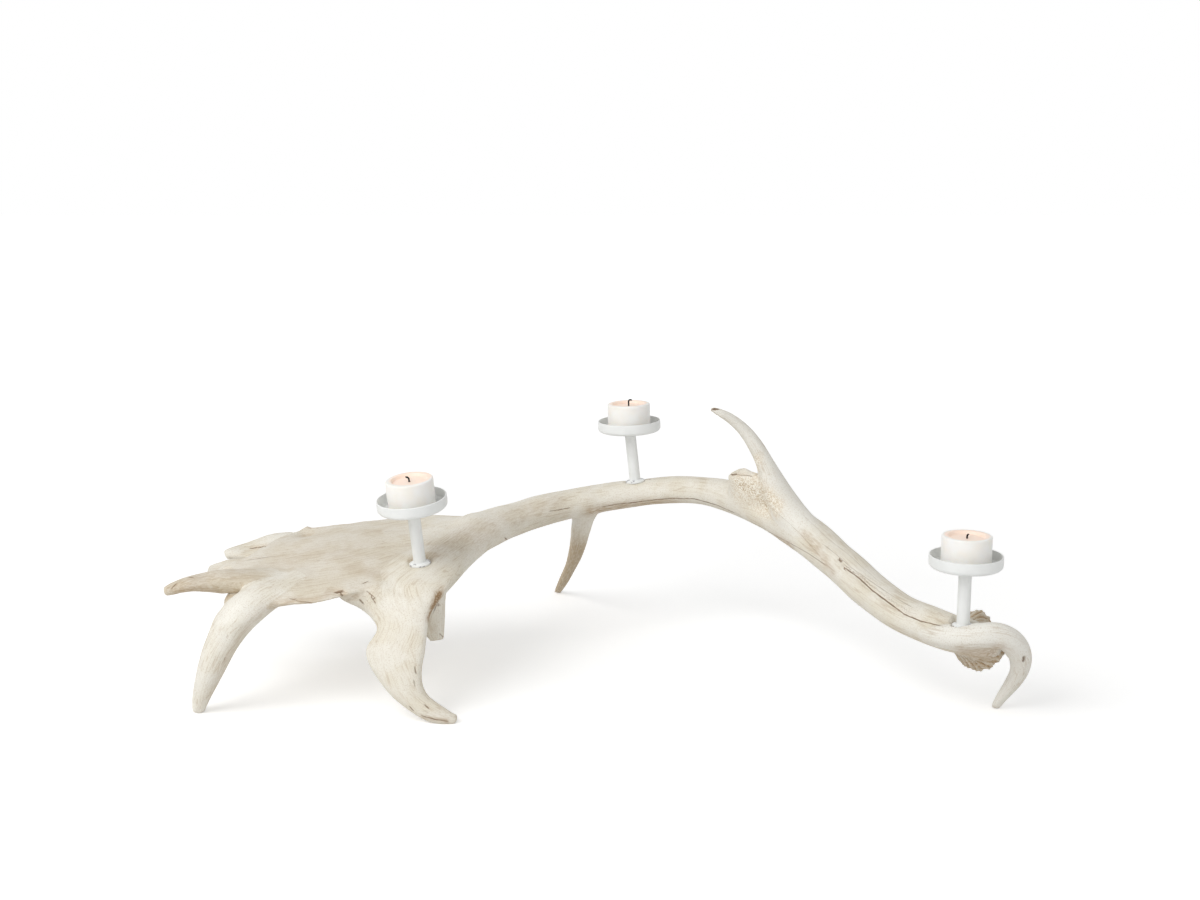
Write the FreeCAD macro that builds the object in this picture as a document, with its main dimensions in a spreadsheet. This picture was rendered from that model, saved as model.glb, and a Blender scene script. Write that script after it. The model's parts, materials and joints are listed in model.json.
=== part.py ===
import FreeCAD, Part
import math
import os

import Sketcher
from FreeCAD import Placement, Rotation, Vector

# Table candle holder: one palmate antler lying on its tines, with three screwed-on candle dishes
# Frame: +X along the antler, +Y to its back, +Z up, table top at Z = 0, millimetres and degrees

# Sizes that the three holders and candles share
SIZES = {
    "dish_diameter": 56.0,
    "dish_height": 10.0,
    "dish_sheet": 1.2,
    "dish_corner": 3.6,
    "dish_rim_round": 0.5,
    "stem_diameter": 10.0,
    "stem_length": 44.5,
    "flange_diameter": 17.0,
    "flange_thickness": 2.2,
    "flange_edge": 1.2,
    "flange_shoulder": 1.6,
    "bolt_diameter": 5.0,
    "bolt_in_antler": 12.0,
    "bolt_in_stem": 14.0,
    "bolt_point": 3.0,
    "screw_diameter": 3.5,
    "screw_head_diameter": 6.4,
    "screw_length": 11.0,
    "screw_head_land": 0.3,
    "fit_clearance": 0.1,
    "hole_end_gap": 0.6,
    "spot_face_sink": 1.6,
    "spot_face_clearance": 0.6,
    "candle_diameter": 38.0,
    "candle_height": 24.0,
    "candle_edge_round": 1.2,
    "candle_ring": 4.6,
    "pool_depth": 2.4,
    "pool_slope": 1.6,
    "candle_seat_gap": 0.1,
    "wick_diameter": 1.8,
    "sustainer_diameter": 15.0,
    "sustainer_sheet": 0.4,
    "collar_diameter": 4.0,
    "collar_height": 3.0,
    "ground_trim": 12.0,
    "ground_margin": 20.0,
}

# Sizes that follow from the ones above
DERIVED = {
    "dish_radius": "dish_diameter / 2",
    "dish_inner_radius": "dish_radius - dish_sheet",
    "screw_radius": "screw_diameter / 2",
    "screw_head_radius": "screw_head_diameter / 2",
    "screw_hole_radius": "screw_radius + 2 * fit_clearance",
    "dimple_radius": "screw_head_radius + screw_head_land + fit_clearance",
    "dimple_back_radius": "dimple_radius + dish_sheet * (sqrt(2) - 1)",
    "dimple_drop": "dimple_back_radius - screw_hole_radius",
    "dish_floor": "dimple_drop + dish_sheet",
    "dimple_lip": "dish_floor - dimple_radius + screw_hole_radius",
    "dish_rim": "dimple_drop + dish_height",
    "dish_inner_corner": "dish_corner - dish_sheet",
    "stem_radius": "stem_diameter / 2",
    "bolt_radius": "bolt_diameter / 2",
    "bolt_hole_radius": "bolt_radius + fit_clearance",
    "stem_hole_depth": "bolt_in_stem + hole_end_gap",
    "bolt_length": "bolt_in_antler + flange_thickness + bolt_in_stem",
    "socket_radius": "dimple_back_radius + fit_clearance",
    "tap_radius": "screw_radius + fit_clearance",
    "socket_foot": "stem_length - socket_radius + tap_radius",
    "screw_head_height": "screw_head_radius - screw_radius",
    "screw_shank": "screw_length - screw_head_height - screw_head_land",
    "tap_end": "stem_length - screw_length - hole_end_gap",
    "screw_cone_top": "screw_shank + screw_head_height",
    "flange_radius": "flange_diameter / 2",
    "flange_crown_radius": "stem_radius + flange_shoulder",
    "spot_face_radius": "flange_radius + spot_face_clearance",
    "spot_face_reach": "1.5 * flange_diameter",
    "candle_radius": "candle_diameter / 2",
    "pool_rim_radius": "candle_radius - candle_ring",
    "pool_radius": "pool_rim_radius - pool_slope",
    "pool_level": "candle_height - pool_depth",
    "wick_radius": "wick_diameter / 2",
    "wick_hole_radius": "wick_radius + fit_clearance",
    "collar_radius": "collar_diameter / 2",
    "collar_hole_radius": "collar_radius + fit_clearance",
    "collar_hole_top": "collar_height + fit_clearance",
    "sustainer_radius": "sustainer_diameter / 2",
    "recess_radius": "sustainer_radius + fit_clearance",
    "recess_depth": "sustainer_sheet + fit_clearance",
}

# Each limb is a row of oval sections: name, centre x, y, z, height, and how much wider than high.
# The main beam runs from the burr over the crown, down through the palm's saddle, to the front foot.
BEAM = (
    ("butt", 302.0, -137.0, 56.0, 27.0, 2.0),
    ("base", 274.0, -155.0, 67.5, 27.0, 3.0),
    ("lower", 252.0, -138.0, 72.0, 30.0, 1.0),
    ("rise", 226.0, -105.0, 81.5, 31.5, 1.0),
    ("climb", 197.0, -60.0, 100.0, 32.0, 1.0),
    ("fork", 165.0, -15.0, 117.5, 32.0, 2.0),
    ("shoulder", 128.0, 24.0, 130.0, 29.0, 1.0),
    ("crest", 84.0, 56.0, 133.0, 25.0, 1.0),
    ("crown", 33.0, 70.0, 127.0, 24.0, 3.0),
    ("fall", -18.0, 63.0, 120.5, 26.0, 2.0),
    ("bend", -60.0, 37.0, 116.5, 28.0, 3.0),
    ("throat", -95.0, 0.0, 112.5, 30.0, 10.0),
    ("heel", -122.0, -45.0, 106.0, 26.0, 24.0),
    ("saddle", -145.0, -99.0, 99.0, 23.0, 45.0),
    ("drop", -160.5, -124.0, 89.5, 23.0, 57.0),
    ("shin", -153.5, -143.0, 70.0, 18.0, 25.0),
    ("ankle", -158.5, -151.0, 53.0, 16.0, 33.0),
    ("instep", -154.0, -157.0, 37.5, 16.0, 22.0),
    ("arch", -147.0, -161.0, 22.5, 15.5, 10.0),
    ("ball", -136.0, -163.5, 11.5, 14.5, 3.0),
    ("toe", -122.5, -165.5, 4.8, 13.0, 1.0),
    ("tip", -110.5, -166.5, 2.0, 8.0, 0.5),
)
BURR = (
    ("neck", 278.0, -152.5, 65.5, 24.0, 1.0),
    ("flare", 286.0, -147.0, 61.5, 32.0, 2.0),
    ("rim", 296.0, -140.0, 58.0, 46.0, 2.0),
    ("face", 303.0, -135.5, 54.5, 38.0, 2.0),
)
PALM = (
    ("heart", -98.0, -4.0, 111.0, 15.0, 12.0),
    ("inner", -122.0, -14.0, 111.5, 17.0, 66.0),
    ("saddle", -150.0, -31.0, 109.5, 17.0, 94.0),
    ("middle", -182.0, -42.0, 107.5, 16.0, 102.0),
    ("broad", -214.0, -65.5, 105.0, 15.0, 138.0),
    ("wide", -246.0, -71.0, 101.5, 14.0, 143.0),
    ("outer", -273.0, -70.0, 98.5, 12.0, 130.0),
    ("end", -295.0, -60.0, 96.5, 8.0, 74.0),
)
FAR_FINGER = (
    ("root", -236.0, -20.0, 104.5, 4.0, 10.0),
    ("ridge", -260.0, -9.0, 103.0, 9.0, 15.0),
    ("knuckle", -284.0, -6.0, 102.5, 12.5, 16.0),
    ("pad", -304.0, -9.0, 98.5, 12.0, 10.0),
    ("tip", -320.5, -14.0, 93.0, 8.0, 2.0),
)
MIDDLE_FINGER = (
    ("root", -284.0, -60.0, 97.6, 4.6, 16.0),
    ("ledge", -299.0, -60.5, 96.9, 6.4, 17.0),
    ("pad", -312.0, -61.0, 96.3, 7.0, 13.0),
    ("tip", -324.0, -61.0, 95.4, 5.0, 6.0),
)
NEAR_FINGER = (
    ("root", -242.0, -92.0, 100.5, 5.0, 14.0),
    ("ridge", -265.0, -106.0, 98.0, 13.0, 20.0),
    ("knuckle", -289.0, -117.0, 99.8, 16.5, 11.0),
    ("pad", -313.0, -129.0, 101.8, 13.5, 6.0),
    ("tip", -333.0, -142.0, 99.5, 7.5, 2.0),
)
LEFT_LEG = (
    ("root", -226.0, -94.0, 101.0, 5.0, 14.0),
    ("hip", -244.0, -112.0, 97.5, 12.0, 18.0),
    ("haunch", -259.0, -128.5, 92.0, 21.0, 11.0),
    ("thigh", -273.0, -140.0, 84.5, 27.0, 4.0),
    ("knee", -285.5, -147.0, 71.0, 26.0, 3.0),
    ("calf", -295.5, -149.0, 54.0, 23.5, 2.5),
    ("shank", -304.0, -148.0, 34.5, 20.0, 2.0),
    ("ankle", -311.5, -145.0, 15.5, 15.0, 1.5),
    ("tip", -316.0, -143.0, -3.5, 9.0, 0.5),
)
BROW_TINE = (
    ("root", 216.0, -92.0, 84.0, 12.0, 1.0),
    ("ridge", 238.0, -126.0, 73.0, 16.0, 2.0),
    ("valley", 258.0, -155.0, 68.5, 18.0, 2.0),
    ("passing", 278.0, -172.0, 71.0, 17.0, 2.0),
    ("arch", 299.0, -174.0, 73.0, 18.5, 1.5),
    ("turn", 316.5, -168.0, 63.5, 18.0, 1.0),
    ("hook", 325.0, -158.0, 46.0, 15.5, 1.0),
    ("shank", 322.5, -145.0, 24.0, 12.0, 0.5),
    ("tip", 312.5, -134.0, -1.5, 6.5, 0.5),
)
UPPER_TINE = (
    ("root", 208.0, -76.0, 95.0, 12.0, 2.0),
    ("swell", 190.0, -51.0, 108.0, 20.0, 3.0),
    ("spring", 168.0, -27.0, 124.0, 23.5, 3.5),
    ("collar", 151.5, -15.0, 146.0, 21.5, 5.0),
    ("waist", 140.8, -13.0, 169.0, 15.8, 1.5),
    ("middle", 132.5, -13.0, 185.0, 12.8, 1.0),
    ("turn", 120.0, -15.0, 202.0, 10.5, 0.5),
    ("neck", 107.0, -19.0, 213.0, 8.0, 0.5),
    ("tip", 92.0, -23.0, 220.8, 4.0, 0.3),
)
REAR_TINE = (
    ("root", -11.0, 58.0, 120.0, 18.0, 3.0),
    ("thigh", -17.0, 85.0, 92.0, 17.5, 1.0),
    ("middle", -22.0, 115.0, 62.0, 14.0, 0.5),
    ("shank", -30.0, 147.0, 33.0, 10.5, 0.5),
    ("ankle", -38.0, 172.0, 11.0, 8.0, 0.5),
    ("tip", -43.5, 190.0, -4.0, 5.5, 0.3),
)
FOOT_SPUR = (
    ("root", -135.0, -98.0, 99.0, 9.0, 10.0),
    ("shoulder", -134.5, -106.0, 83.0, 12.0, 10.0),
    ("middle", -133.5, -112.0, 66.0, 11.5, 9.0),
    ("tip", -130.0, -116.0, 49.0, 6.5, 5.0),
)
FORK_STUB = (
    ("root", 141.0, 7.5, 126.0, 17.0, 33.0),
    ("neck", 128.5, 6.5, 145.0, 15.5, 29.0),
    ("break", 118.0, 6.5, 161.0, 12.5, 10.5),
)

# Limbs, each with a section that is wide in a known direction
LEVEL_BACK = Vector(0, 1, 0.09)
LIMBS = {
    "beam": (BEAM, "saddle", Vector(1, -0.3, 0)),
    "burr": (BURR, "neck", Vector(0.55, 0.8, 0)),
    "palm": (PALM, "heart", LEVEL_BACK),
    "far_finger": (FAR_FINGER, "root", LEVEL_BACK),
    "middle_finger": (MIDDLE_FINGER, "root", LEVEL_BACK),
    "near_finger": (NEAR_FINGER, "root", LEVEL_BACK),
    "left_leg": (LEFT_LEG, "root", LEVEL_BACK),
    "brow_tine": (BROW_TINE, "root", Vector(0, 0, 1)),
    "upper_tine": (UPPER_TINE, "root", Vector(0.8, 0.55, 0)),
    "rear_tine": (REAR_TINE, "root", Vector(1, 0, 0)),
    "foot_spur": (FOOT_SPUR, "root", Vector(1, 0.2, 0)),
    "fork_stub": (FORK_STUB, "root", Vector(-0.75, 0.65, 0)),
}

# Each holder: the beam section it stands on, how far round the beam from the crown to the front, its
# leans to the right and to the back, and its wick's rise above the pool, bend and heading
HOLDERS = {
    "left": ("saddle", {
        "roll": 8.5, "lean_right": -5.1, "lean_back": -6.0,
        "wick_rise": 2.0, "wick_bend_radius": 2.2, "wick_bend": 100.0, "wick_heading": 200.0,
    }),
    "middle": ("crown", {
        "roll": 0.0, "lean_right": -6.2, "lean_back": 0.0,
        "wick_rise": 4.0, "wick_bend_radius": 1.6, "wick_bend": 150.0, "wick_heading": 170.0,
    }),
    "right": ("base", {
        "roll": 38.0, "lean_right": 0.0, "lean_back": 0.0,
        "wick_rise": 2.5, "wick_bend_radius": 5.0, "wick_bend": 40.0, "wick_heading": 0.0,
    }),
}

STATION_FIELDS = ("x", "y", "z", "high", "spread")

doc = FreeCAD.newDocument("antler_candle_holder")
sheet = doc.addObject("Spreadsheet::Sheet", "Sizes")


# Writes one named value in the sheet's next row and returns the row after it
def write_cell(row, alias, text):
    sheet.set(f"A{row}", alias)
    sheet.set(f"B{row}", text)
    sheet.setAlias(f"B{row}", alias)
    return row + 1


def fill_sheet():
    row = 1
    for alias, value in SIZES.items():
        row = write_cell(row, alias, str(value))
    for limb, (stations, _, _) in LIMBS.items():
        for station, *values in stations:
            for field, value in zip(STATION_FIELDS, values):
                row = write_cell(row, f"{limb}_{station}_{field}", str(value))
    for holder, (_, settings) in HOLDERS.items():
        for field, value in settings.items():
            row = write_cell(row, f"{holder}_{field}", str(value))
    for alias, formula in DERIVED.items():
        row = write_cell(row, alias, "=" + formula)
    doc.recompute()


def size(alias):
    return float(getattr(sheet, alias))


def station_point(limb, station):
    return Vector(*(size(f"{limb}_{station}_{axis}") for axis in "xyz"))


# Directions of a limb at each of its sections, along it and the wide way across it, carried without
# twist from the section whose wide direction is known
def section_axes(limb):
    stations, known, known_wide = LIMBS[limb]
    names = [row[0] for row in stations]
    points = [station_point(limb, name) for name in names]
    start = names.index(known)
    axes = {}
    for run in (range(start, len(names)), range(start, -1, -1)):
        wide = known_wide
        for index in run:
            along = points[min(index + 1, len(names) - 1)] - points[max(index - 1, 0)]
            along.normalize()
            wide = (wide - along * wide.dot(along)).normalize()
            axes[names[index]] = (along, wide)
    return axes


# A section's own frame: X the wide way, Z along the limb
def section_placement(centre, along, wide):
    return Placement(centre, Rotation(wide, along.cross(wide), along, "XZY"))


# One limb: a smooth skin through its sections
def make_limb(limb):
    stations = LIMBS[limb][0]
    axes = section_axes(limb)
    sections = []
    for station, *_ in stations:
        name = f"{limb}_{station}"
        section = doc.addObject("Part::Ellipse", name)
        section.Placement = section_placement(station_point(limb, station), *axes[station])
        for axis in "xyz":
            section.setExpression(f"Placement.Base.{axis}", f"Sizes.{name}_{axis}")
        section.setExpression("MinorRadius", f"Sizes.{name}_high / 2")
        section.setExpression("MajorRadius", f"(Sizes.{name}_high + Sizes.{name}_spread) / 2")
        sections.append(section)
    skin = doc.addObject("Part::Loft", limb)
    skin.Sections = sections
    skin.Solid = True
    skin.Ruled = False
    return skin


# Where a holder stands: on the crown of its beam section, or rolled round from it to the front, sunk
# by the spot face, along its lean
def holder_seat(holder):
    station = HOLDERS[holder][0]
    along, wide = section_axes("beam")[station]
    if wide.y > 0:
        wide = -wide
    up = along.cross(wide)
    if up.z < 0:
        up = -up
    half_high = size(f"beam_{station}_high") / 2
    half_wide = half_high + size(f"beam_{station}_spread") / 2
    axis = Vector(
        math.tan(math.radians(size(f"{holder}_lean_right"))),
        math.tan(math.radians(size(f"{holder}_lean_back"))),
        1,
    ).normalize()
    crown = math.atan2(half_high * up.z, half_wide * wide.z)
    angle = crown - math.radians(size(f"{holder}_roll"))
    surface = wide * (half_wide * math.cos(angle)) + up * (half_high * math.sin(angle))
    point = station_point("beam", station) + surface - axis * size("spot_face_sink")
    return Placement(point, Rotation(Vector(0, 0, 1), axis))


def lifted(seat, height, heading=0.0):
    return seat * Placement(Vector(0, 0, height), Rotation(Vector(0, 0, 1), heading))


# Cutter for one holder: a flat spot face in the antler and the bolt's blind hole below it
def seat_cutters(holder):
    seat = holder_seat(holder)
    face = doc.addObject("Part::Cylinder", f"{holder}_spot_face")
    face.setExpression("Radius", "Sizes.spot_face_radius")
    face.setExpression("Height", "Sizes.spot_face_reach")
    face.Placement = seat
    hole = doc.addObject("Part::Cylinder", f"{holder}_bolt_hole")
    hole.setExpression("Radius", "Sizes.bolt_hole_radius")
    hole.setExpression("Height", "Sizes.bolt_in_antler + Sizes.hole_end_gap + Sizes.spot_face_reach")
    hole.Placement = lifted(seat, -size("bolt_in_antler") - size("hole_end_gap"))
    return [face, hole]


# Block below the table top, which cuts the feet flat
def ground_cutter():
    points = [station_point(limb, row[0]) for limb, (stations, _, _) in LIMBS.items() for row in stations]
    margin = size("ground_margin")
    low_x = min(point.x for point in points) - margin
    low_y = min(point.y for point in points) - margin
    block = doc.addObject("Part::Box", "table_block")
    block.Length = max(point.x for point in points) + margin - low_x
    block.Width = max(point.y for point in points) + margin - low_y
    block.setExpression("Height", "Sizes.ground_trim")
    block.Placement = Placement(Vector(low_x, low_y, -size("ground_trim")), Rotation())
    return block


def make_antler():
    grown = doc.addObject("Part::MultiFuse", "grown_antler")
    grown.Shapes = [make_limb(limb) for limb in LIMBS]
    cutters = doc.addObject("Part::MultiFuse", "antler_cutters")
    cutters.Shapes = [tool for holder in HOLDERS for tool in seat_cutters(holder)] + [ground_cutter()]
    antler = doc.addObject("Part::Cut", "antler")
    antler.Base = grown
    antler.Tool = cutters
    return antler


def origin_plane(body, role):
    return next(feature for feature in body.Origin.OriginFeatures if feature.Role == role)


def new_sketch(body, name, role):
    sketch = body.newObject("Sketcher::SketchObject", name)
    sketch.AttachmentSupport = [(origin_plane(body, role), "")]
    sketch.MapMode = "FlatFace"
    return sketch


# Ties a sketch point to the sheet: each coordinate is a named size, or None for zero
def pin_point(sketch, edge, end, across, up):
    for kind, alias, axis in (("DistanceX", across, -2), ("DistanceY", up, -1)):
        if alias is None:
            sketch.addConstraint(Sketcher.Constraint("PointOnObject", edge, end, axis))
        else:
            index = sketch.addConstraint(Sketcher.Constraint(kind, -1, 1, edge, end, size(alias)))
            sketch.setExpression(f"Constraints[{index}]", f"Sizes.{alias}")


# A turned piece: its half profile as (radius, height) size names, spun about its own Z axis
def turned(label, profile):
    body = doc.addObject("PartDesign::Body", label)
    sketch = new_sketch(body, f"{label}_profile", "XZ_Plane")
    corners = [Vector(*(0.0 if name is None else size(name) for name in corner), 0) for corner in profile]
    count = len(corners)
    for index, corner in enumerate(corners):
        sketch.addGeometry(Part.LineSegment(corner, corners[(index + 1) % count]), False)
    for index, (across, up) in enumerate(profile):
        following = (index + 1) % count
        sketch.addConstraint(Sketcher.Constraint("Coincident", index, 2, following, 1))
        pin_point(sketch, index, 1, across, up)
    spin = body.newObject("PartDesign::Revolution", f"{label}_turned")
    spin.Profile = sketch
    spin.ReferenceAxis = (sketch, ["V_Axis"])
    spin.Angle = 360.0
    doc.recompute()
    return body


# Names of a piece's circular edges at given (radius, height) corners
def ring_edges(feature, corners):
    names = []
    for index, edge in enumerate(feature.Shape.Edges, 1):
        if edge.Curve.TypeId != "Part::GeomCircle":
            continue
        for across, up in corners:
            same_radius = abs(edge.Curve.Radius - size(across)) < 1e-4
            if same_radius and abs(edge.Curve.Center.z - size(up)) < 1e-4:
                names.append(f"Edge{index}")
    return names


def rounded(body, name, corners, radius):
    base = body.Tip
    fillet = body.newObject("PartDesign::Fillet", f"{body.Label}_{name}")
    fillet.Base = (base, ring_edges(base, corners))
    fillet.setExpression("Radius", f"Sizes.{radius}")
    doc.recompute()


def make_dish(label):
    dish = turned(label, (
        ("screw_hole_radius", None),
        ("dimple_back_radius", "dimple_drop"),
        ("dish_radius", "dimple_drop"),
        ("dish_radius", "dish_rim"),
        ("dish_inner_radius", "dish_rim"),
        ("dish_inner_radius", "dish_floor"),
        ("dimple_radius", "dish_floor"),
        ("screw_hole_radius", "dimple_lip"),
    ))
    rounded(dish, "outer_corner", [("dish_radius", "dimple_drop")], "dish_corner")
    rounded(dish, "inner_corner", [("dish_inner_radius", "dish_floor")], "dish_inner_corner")
    rounded(dish, "rim", [("dish_radius", "dish_rim"), ("dish_inner_radius", "dish_rim")], "dish_rim_round")
    return dish


def make_stem(label):
    return turned(label, (
        ("bolt_hole_radius", None),
        ("stem_radius", None),
        ("stem_radius", "stem_length"),
        ("socket_radius", "stem_length"),
        ("tap_radius", "socket_foot"),
        ("tap_radius", "tap_end"),
        (None, "tap_end"),
        (None, "stem_hole_depth"),
        ("bolt_hole_radius", "stem_hole_depth"),
    ))


def make_flange(label):
    return turned(label, (
        ("bolt_hole_radius", None),
        ("flange_radius", None),
        ("flange_radius", "flange_edge"),
        ("flange_crown_radius", "flange_thickness"),
        ("bolt_hole_radius", "flange_thickness"),
    ))


def make_bolt(label):
    return turned(label, (
        (None, None),
        ("bolt_radius", "bolt_point"),
        ("bolt_radius", "bolt_length"),
        (None, "bolt_length"),
    ))


def make_screw(label):
    return turned(label, (
        (None, None),
        ("screw_radius", None),
        ("screw_radius", "screw_shank"),
        ("screw_head_radius", "screw_cone_top"),
        ("screw_head_radius", "screw_length"),
        (None, "screw_length"),
    ))


def make_wax(label):
    wax = turned(label, (
        ("recess_radius", None),
        ("candle_radius", None),
        ("candle_radius", "candle_height"),
        ("pool_rim_radius", "candle_height"),
        ("pool_radius", "pool_level"),
        ("wick_hole_radius", "pool_level"),
        ("wick_hole_radius", "collar_hole_top"),
        ("collar_hole_radius", "collar_hole_top"),
        ("collar_hole_radius", "recess_depth"),
        ("recess_radius", "recess_depth"),
    ))
    edges = [("candle_radius", "candle_height"), ("pool_rim_radius", "candle_height")]
    rounded(wax, "top_edge", edges, "candle_edge_round")
    return wax


def make_sustainer(label):
    return turned(label, (
        ("wick_hole_radius", None),
        ("sustainer_radius", None),
        ("sustainer_radius", "sustainer_sheet"),
        ("collar_radius", "sustainer_sheet"),
        ("collar_radius", "collar_height"),
        ("wick_hole_radius", "collar_height"),
    ))


# The wick: a round cord that rises from the sustainer through the pool and bends over at its end
def make_wick(label, holder):
    body = doc.addObject("PartDesign::Body", label)
    profile = new_sketch(body, f"{label}_section", "XY_Plane")
    profile.addGeometry(Part.Circle(Vector(), Vector(0, 0, 1), size("wick_radius")), False)
    profile.addConstraint(Sketcher.Constraint("Coincident", 0, 3, -1, 1))
    profile.addConstraint(Sketcher.Constraint("Radius", 0, size("wick_radius")))
    profile.setExpression("Constraints[1]", "Sizes.wick_radius")
    top = size("pool_level") + size(f"{holder}_wick_rise")
    radius = size(f"{holder}_wick_bend_radius")
    bend = size(f"{holder}_wick_bend")
    path = new_sketch(body, f"{label}_path", "XZ_Plane")
    path.addGeometry(Part.LineSegment(Vector(), Vector(0, top, 0)), False)
    circle = Part.Circle(Vector(radius, top, 0), Vector(0, 0, 1), radius)
    path.addGeometry(Part.ArcOfCircle(circle, math.radians(180 - bend), math.pi), False)
    path.addConstraint(Sketcher.Constraint("Coincident", 0, 1, -1, 1))
    path.addConstraint(Sketcher.Constraint("PointOnObject", 0, 2, -2))
    rise = path.addConstraint(Sketcher.Constraint("DistanceY", 0, 1, 0, 2, top))
    path.setExpression(f"Constraints[{rise}]", f"Sizes.pool_level + Sizes.{holder}_wick_rise")
    path.addConstraint(Sketcher.Constraint("Tangent", 0, 2, 1, 2))
    curve = path.addConstraint(Sketcher.Constraint("Radius", 1, radius))
    path.setExpression(f"Constraints[{curve}]", f"Sizes.{holder}_wick_bend_radius")
    turn = path.addConstraint(Sketcher.Constraint("Angle", 1, math.radians(bend)))
    path.setExpression(f"Constraints[{turn}]", f"Sizes.{holder}_wick_bend * 1 deg")
    cord = body.newObject("PartDesign::AdditivePipe", f"{label}_cord")
    cord.Profile = profile
    cord.Spine = (path, ["Edge1", "Edge2"])
    doc.recompute()
    return body


# One holder with its candle: each piece stands on the one below it, along the same leaning axis
def make_holder(holder):
    seat = holder_seat(holder)
    stem_foot = size("flange_thickness")
    stem_top = stem_foot + size("stem_length")
    dish_base = stem_top - size("dimple_drop")
    floor = stem_top + size("dish_sheet")
    candle_foot = floor + size("candle_seat_gap")
    screw_foot = floor - size("screw_length")
    heading = size(f"{holder}_wick_heading")
    pieces = (
        (make_flange(f"{holder}_foot_flange"), 0.0, 0.0),
        (make_bolt(f"{holder}_hanger_bolt"), -size("bolt_in_antler"), 0.0),
        (make_stem(f"{holder}_stem"), stem_foot, 0.0),
        (make_dish(f"{holder}_dish"), dish_base, 0.0),
        (make_screw(f"{holder}_dish_screw"), screw_foot, 0.0),
        (make_wax(f"{holder}_candle_wax"), candle_foot, 0.0),
        (make_sustainer(f"{holder}_wick_sustainer"), candle_foot, 0.0),
        (make_wick(f"{holder}_wick", holder), candle_foot, heading),
    )
    for piece, height, turn in pieces:
        piece.Placement = lifted(seat, height, turn)
    return [piece for piece, _, _ in pieces]


fill_sheet()
nodes = [make_antler()]
for holder_name in HOLDERS:
    nodes += make_holder(holder_name)
doc.recompute()

for item in doc.Objects:
    if "Invalid" in item.State or "Error" in item.State:
        raise RuntimeError(f"{item.Label} failed: {item.State}")
for node in nodes:
    if node.Shape.isNull() or not node.Shape.isValid() or len(node.Shape.Solids) != 1:
        raise RuntimeError(f"{node.Label} is not one valid solid")

os.makedirs("parts", exist_ok=True)
for node in nodes:
    node.Shape.exportStep(f"parts/{node.Label}.step")
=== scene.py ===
import json
import math
import bpy
import numpy as np
from mathutils import Matrix, Vector, noise
from mathutils.bvhtree import BVHTree


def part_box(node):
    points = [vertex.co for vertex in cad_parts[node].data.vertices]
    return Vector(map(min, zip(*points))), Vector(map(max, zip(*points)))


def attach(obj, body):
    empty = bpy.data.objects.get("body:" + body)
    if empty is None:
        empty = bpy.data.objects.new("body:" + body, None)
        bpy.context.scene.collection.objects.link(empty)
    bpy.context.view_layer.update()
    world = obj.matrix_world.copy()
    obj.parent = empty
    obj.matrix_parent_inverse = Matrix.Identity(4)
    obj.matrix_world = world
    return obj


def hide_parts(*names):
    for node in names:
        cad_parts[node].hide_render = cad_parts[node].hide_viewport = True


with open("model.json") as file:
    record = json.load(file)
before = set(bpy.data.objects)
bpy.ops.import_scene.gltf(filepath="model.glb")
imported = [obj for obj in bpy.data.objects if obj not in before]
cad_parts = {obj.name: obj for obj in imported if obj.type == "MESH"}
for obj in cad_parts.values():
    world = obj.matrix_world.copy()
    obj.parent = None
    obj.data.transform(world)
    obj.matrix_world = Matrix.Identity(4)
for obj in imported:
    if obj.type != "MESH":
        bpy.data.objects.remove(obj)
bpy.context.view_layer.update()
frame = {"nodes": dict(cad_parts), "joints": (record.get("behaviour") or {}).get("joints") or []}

MM = 0.001
SIDES = ("left", "middle", "right")
MERGE_GAP = 0.01 * MM

# The photograph's camera, in metres, and its image of 1200 by 900 pixels
PHOTO_WIDTH = 1200
PHOTO_HEIGHT = 900
SENSOR_WIDTH = 36.0
LENS = 47.52
CAMERA_PLACE = Vector((0.0, -1.323, 0.450))
CAMERA_PITCH = math.radians(11.5)

# Colours, as linear red, green and blue
IVORY = (0.82, 0.79, 0.71, 1.0)
CREAM = (0.77, 0.725, 0.615, 1.0)
# Bleached bone, also painted light on limbs that the lamps leave dim
BLEACHED_AND_PAINTED_LIGHT = (0.85, 0.835, 0.78, 1.0)
# Pale walls of the porous web, partly painted light
PALE_WALL_AND_LIGHT = (0.95, 0.90, 0.79, 1.0)
GREIGE = (0.60, 0.53, 0.41, 1.0)
TAN = (0.48, 0.375, 0.245, 1.0)
OCHRE = (0.57, 0.43, 0.26, 1.0)
UMBER = (0.40, 0.27, 0.145, 1.0)
BROWN = (0.25, 0.15, 0.075, 1.0)
DARK_BROWN = (0.085, 0.048, 0.026, 1.0)
COAT_WHITE = (0.84, 0.85, 0.835, 1.0)
COAT_SHADE = (0.80, 0.81, 0.795, 1.0)
CHIP_GREY = (0.36, 0.35, 0.37, 1.0)
WAX_WHITE = (0.92, 0.905, 0.875, 1.0)
WAX_WARM = (0.90, 0.87, 0.81, 1.0)
# Painted glow of the candle pools: a peach tint and a faint warm emission
PAINTED_GLOW_TINT = (0.90, 0.76, 0.66, 1.0)
PAINTED_POOL_GLOW = (0.09, 0.05, 0.03, 1.0)
UNLIT = (0.0, 0.0, 0.0, 1.0)
CHAR = (0.012, 0.010, 0.009, 1.0)
ASH = (0.04, 0.032, 0.027, 1.0)
ZINC = (0.55, 0.55, 0.54, 1.0)
ZINC_SHADE = (0.44, 0.44, 0.432, 1.0)
TIN_GREY = (0.66, 0.66, 0.65, 1.0)
TIN_SHADE = (0.528, 0.528, 0.52, 1.0)
FLOOR_WHITE = (0.88, 0.88, 0.875, 1.0)
WHITE = (1.0, 1.0, 1.0, 1.0)
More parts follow.
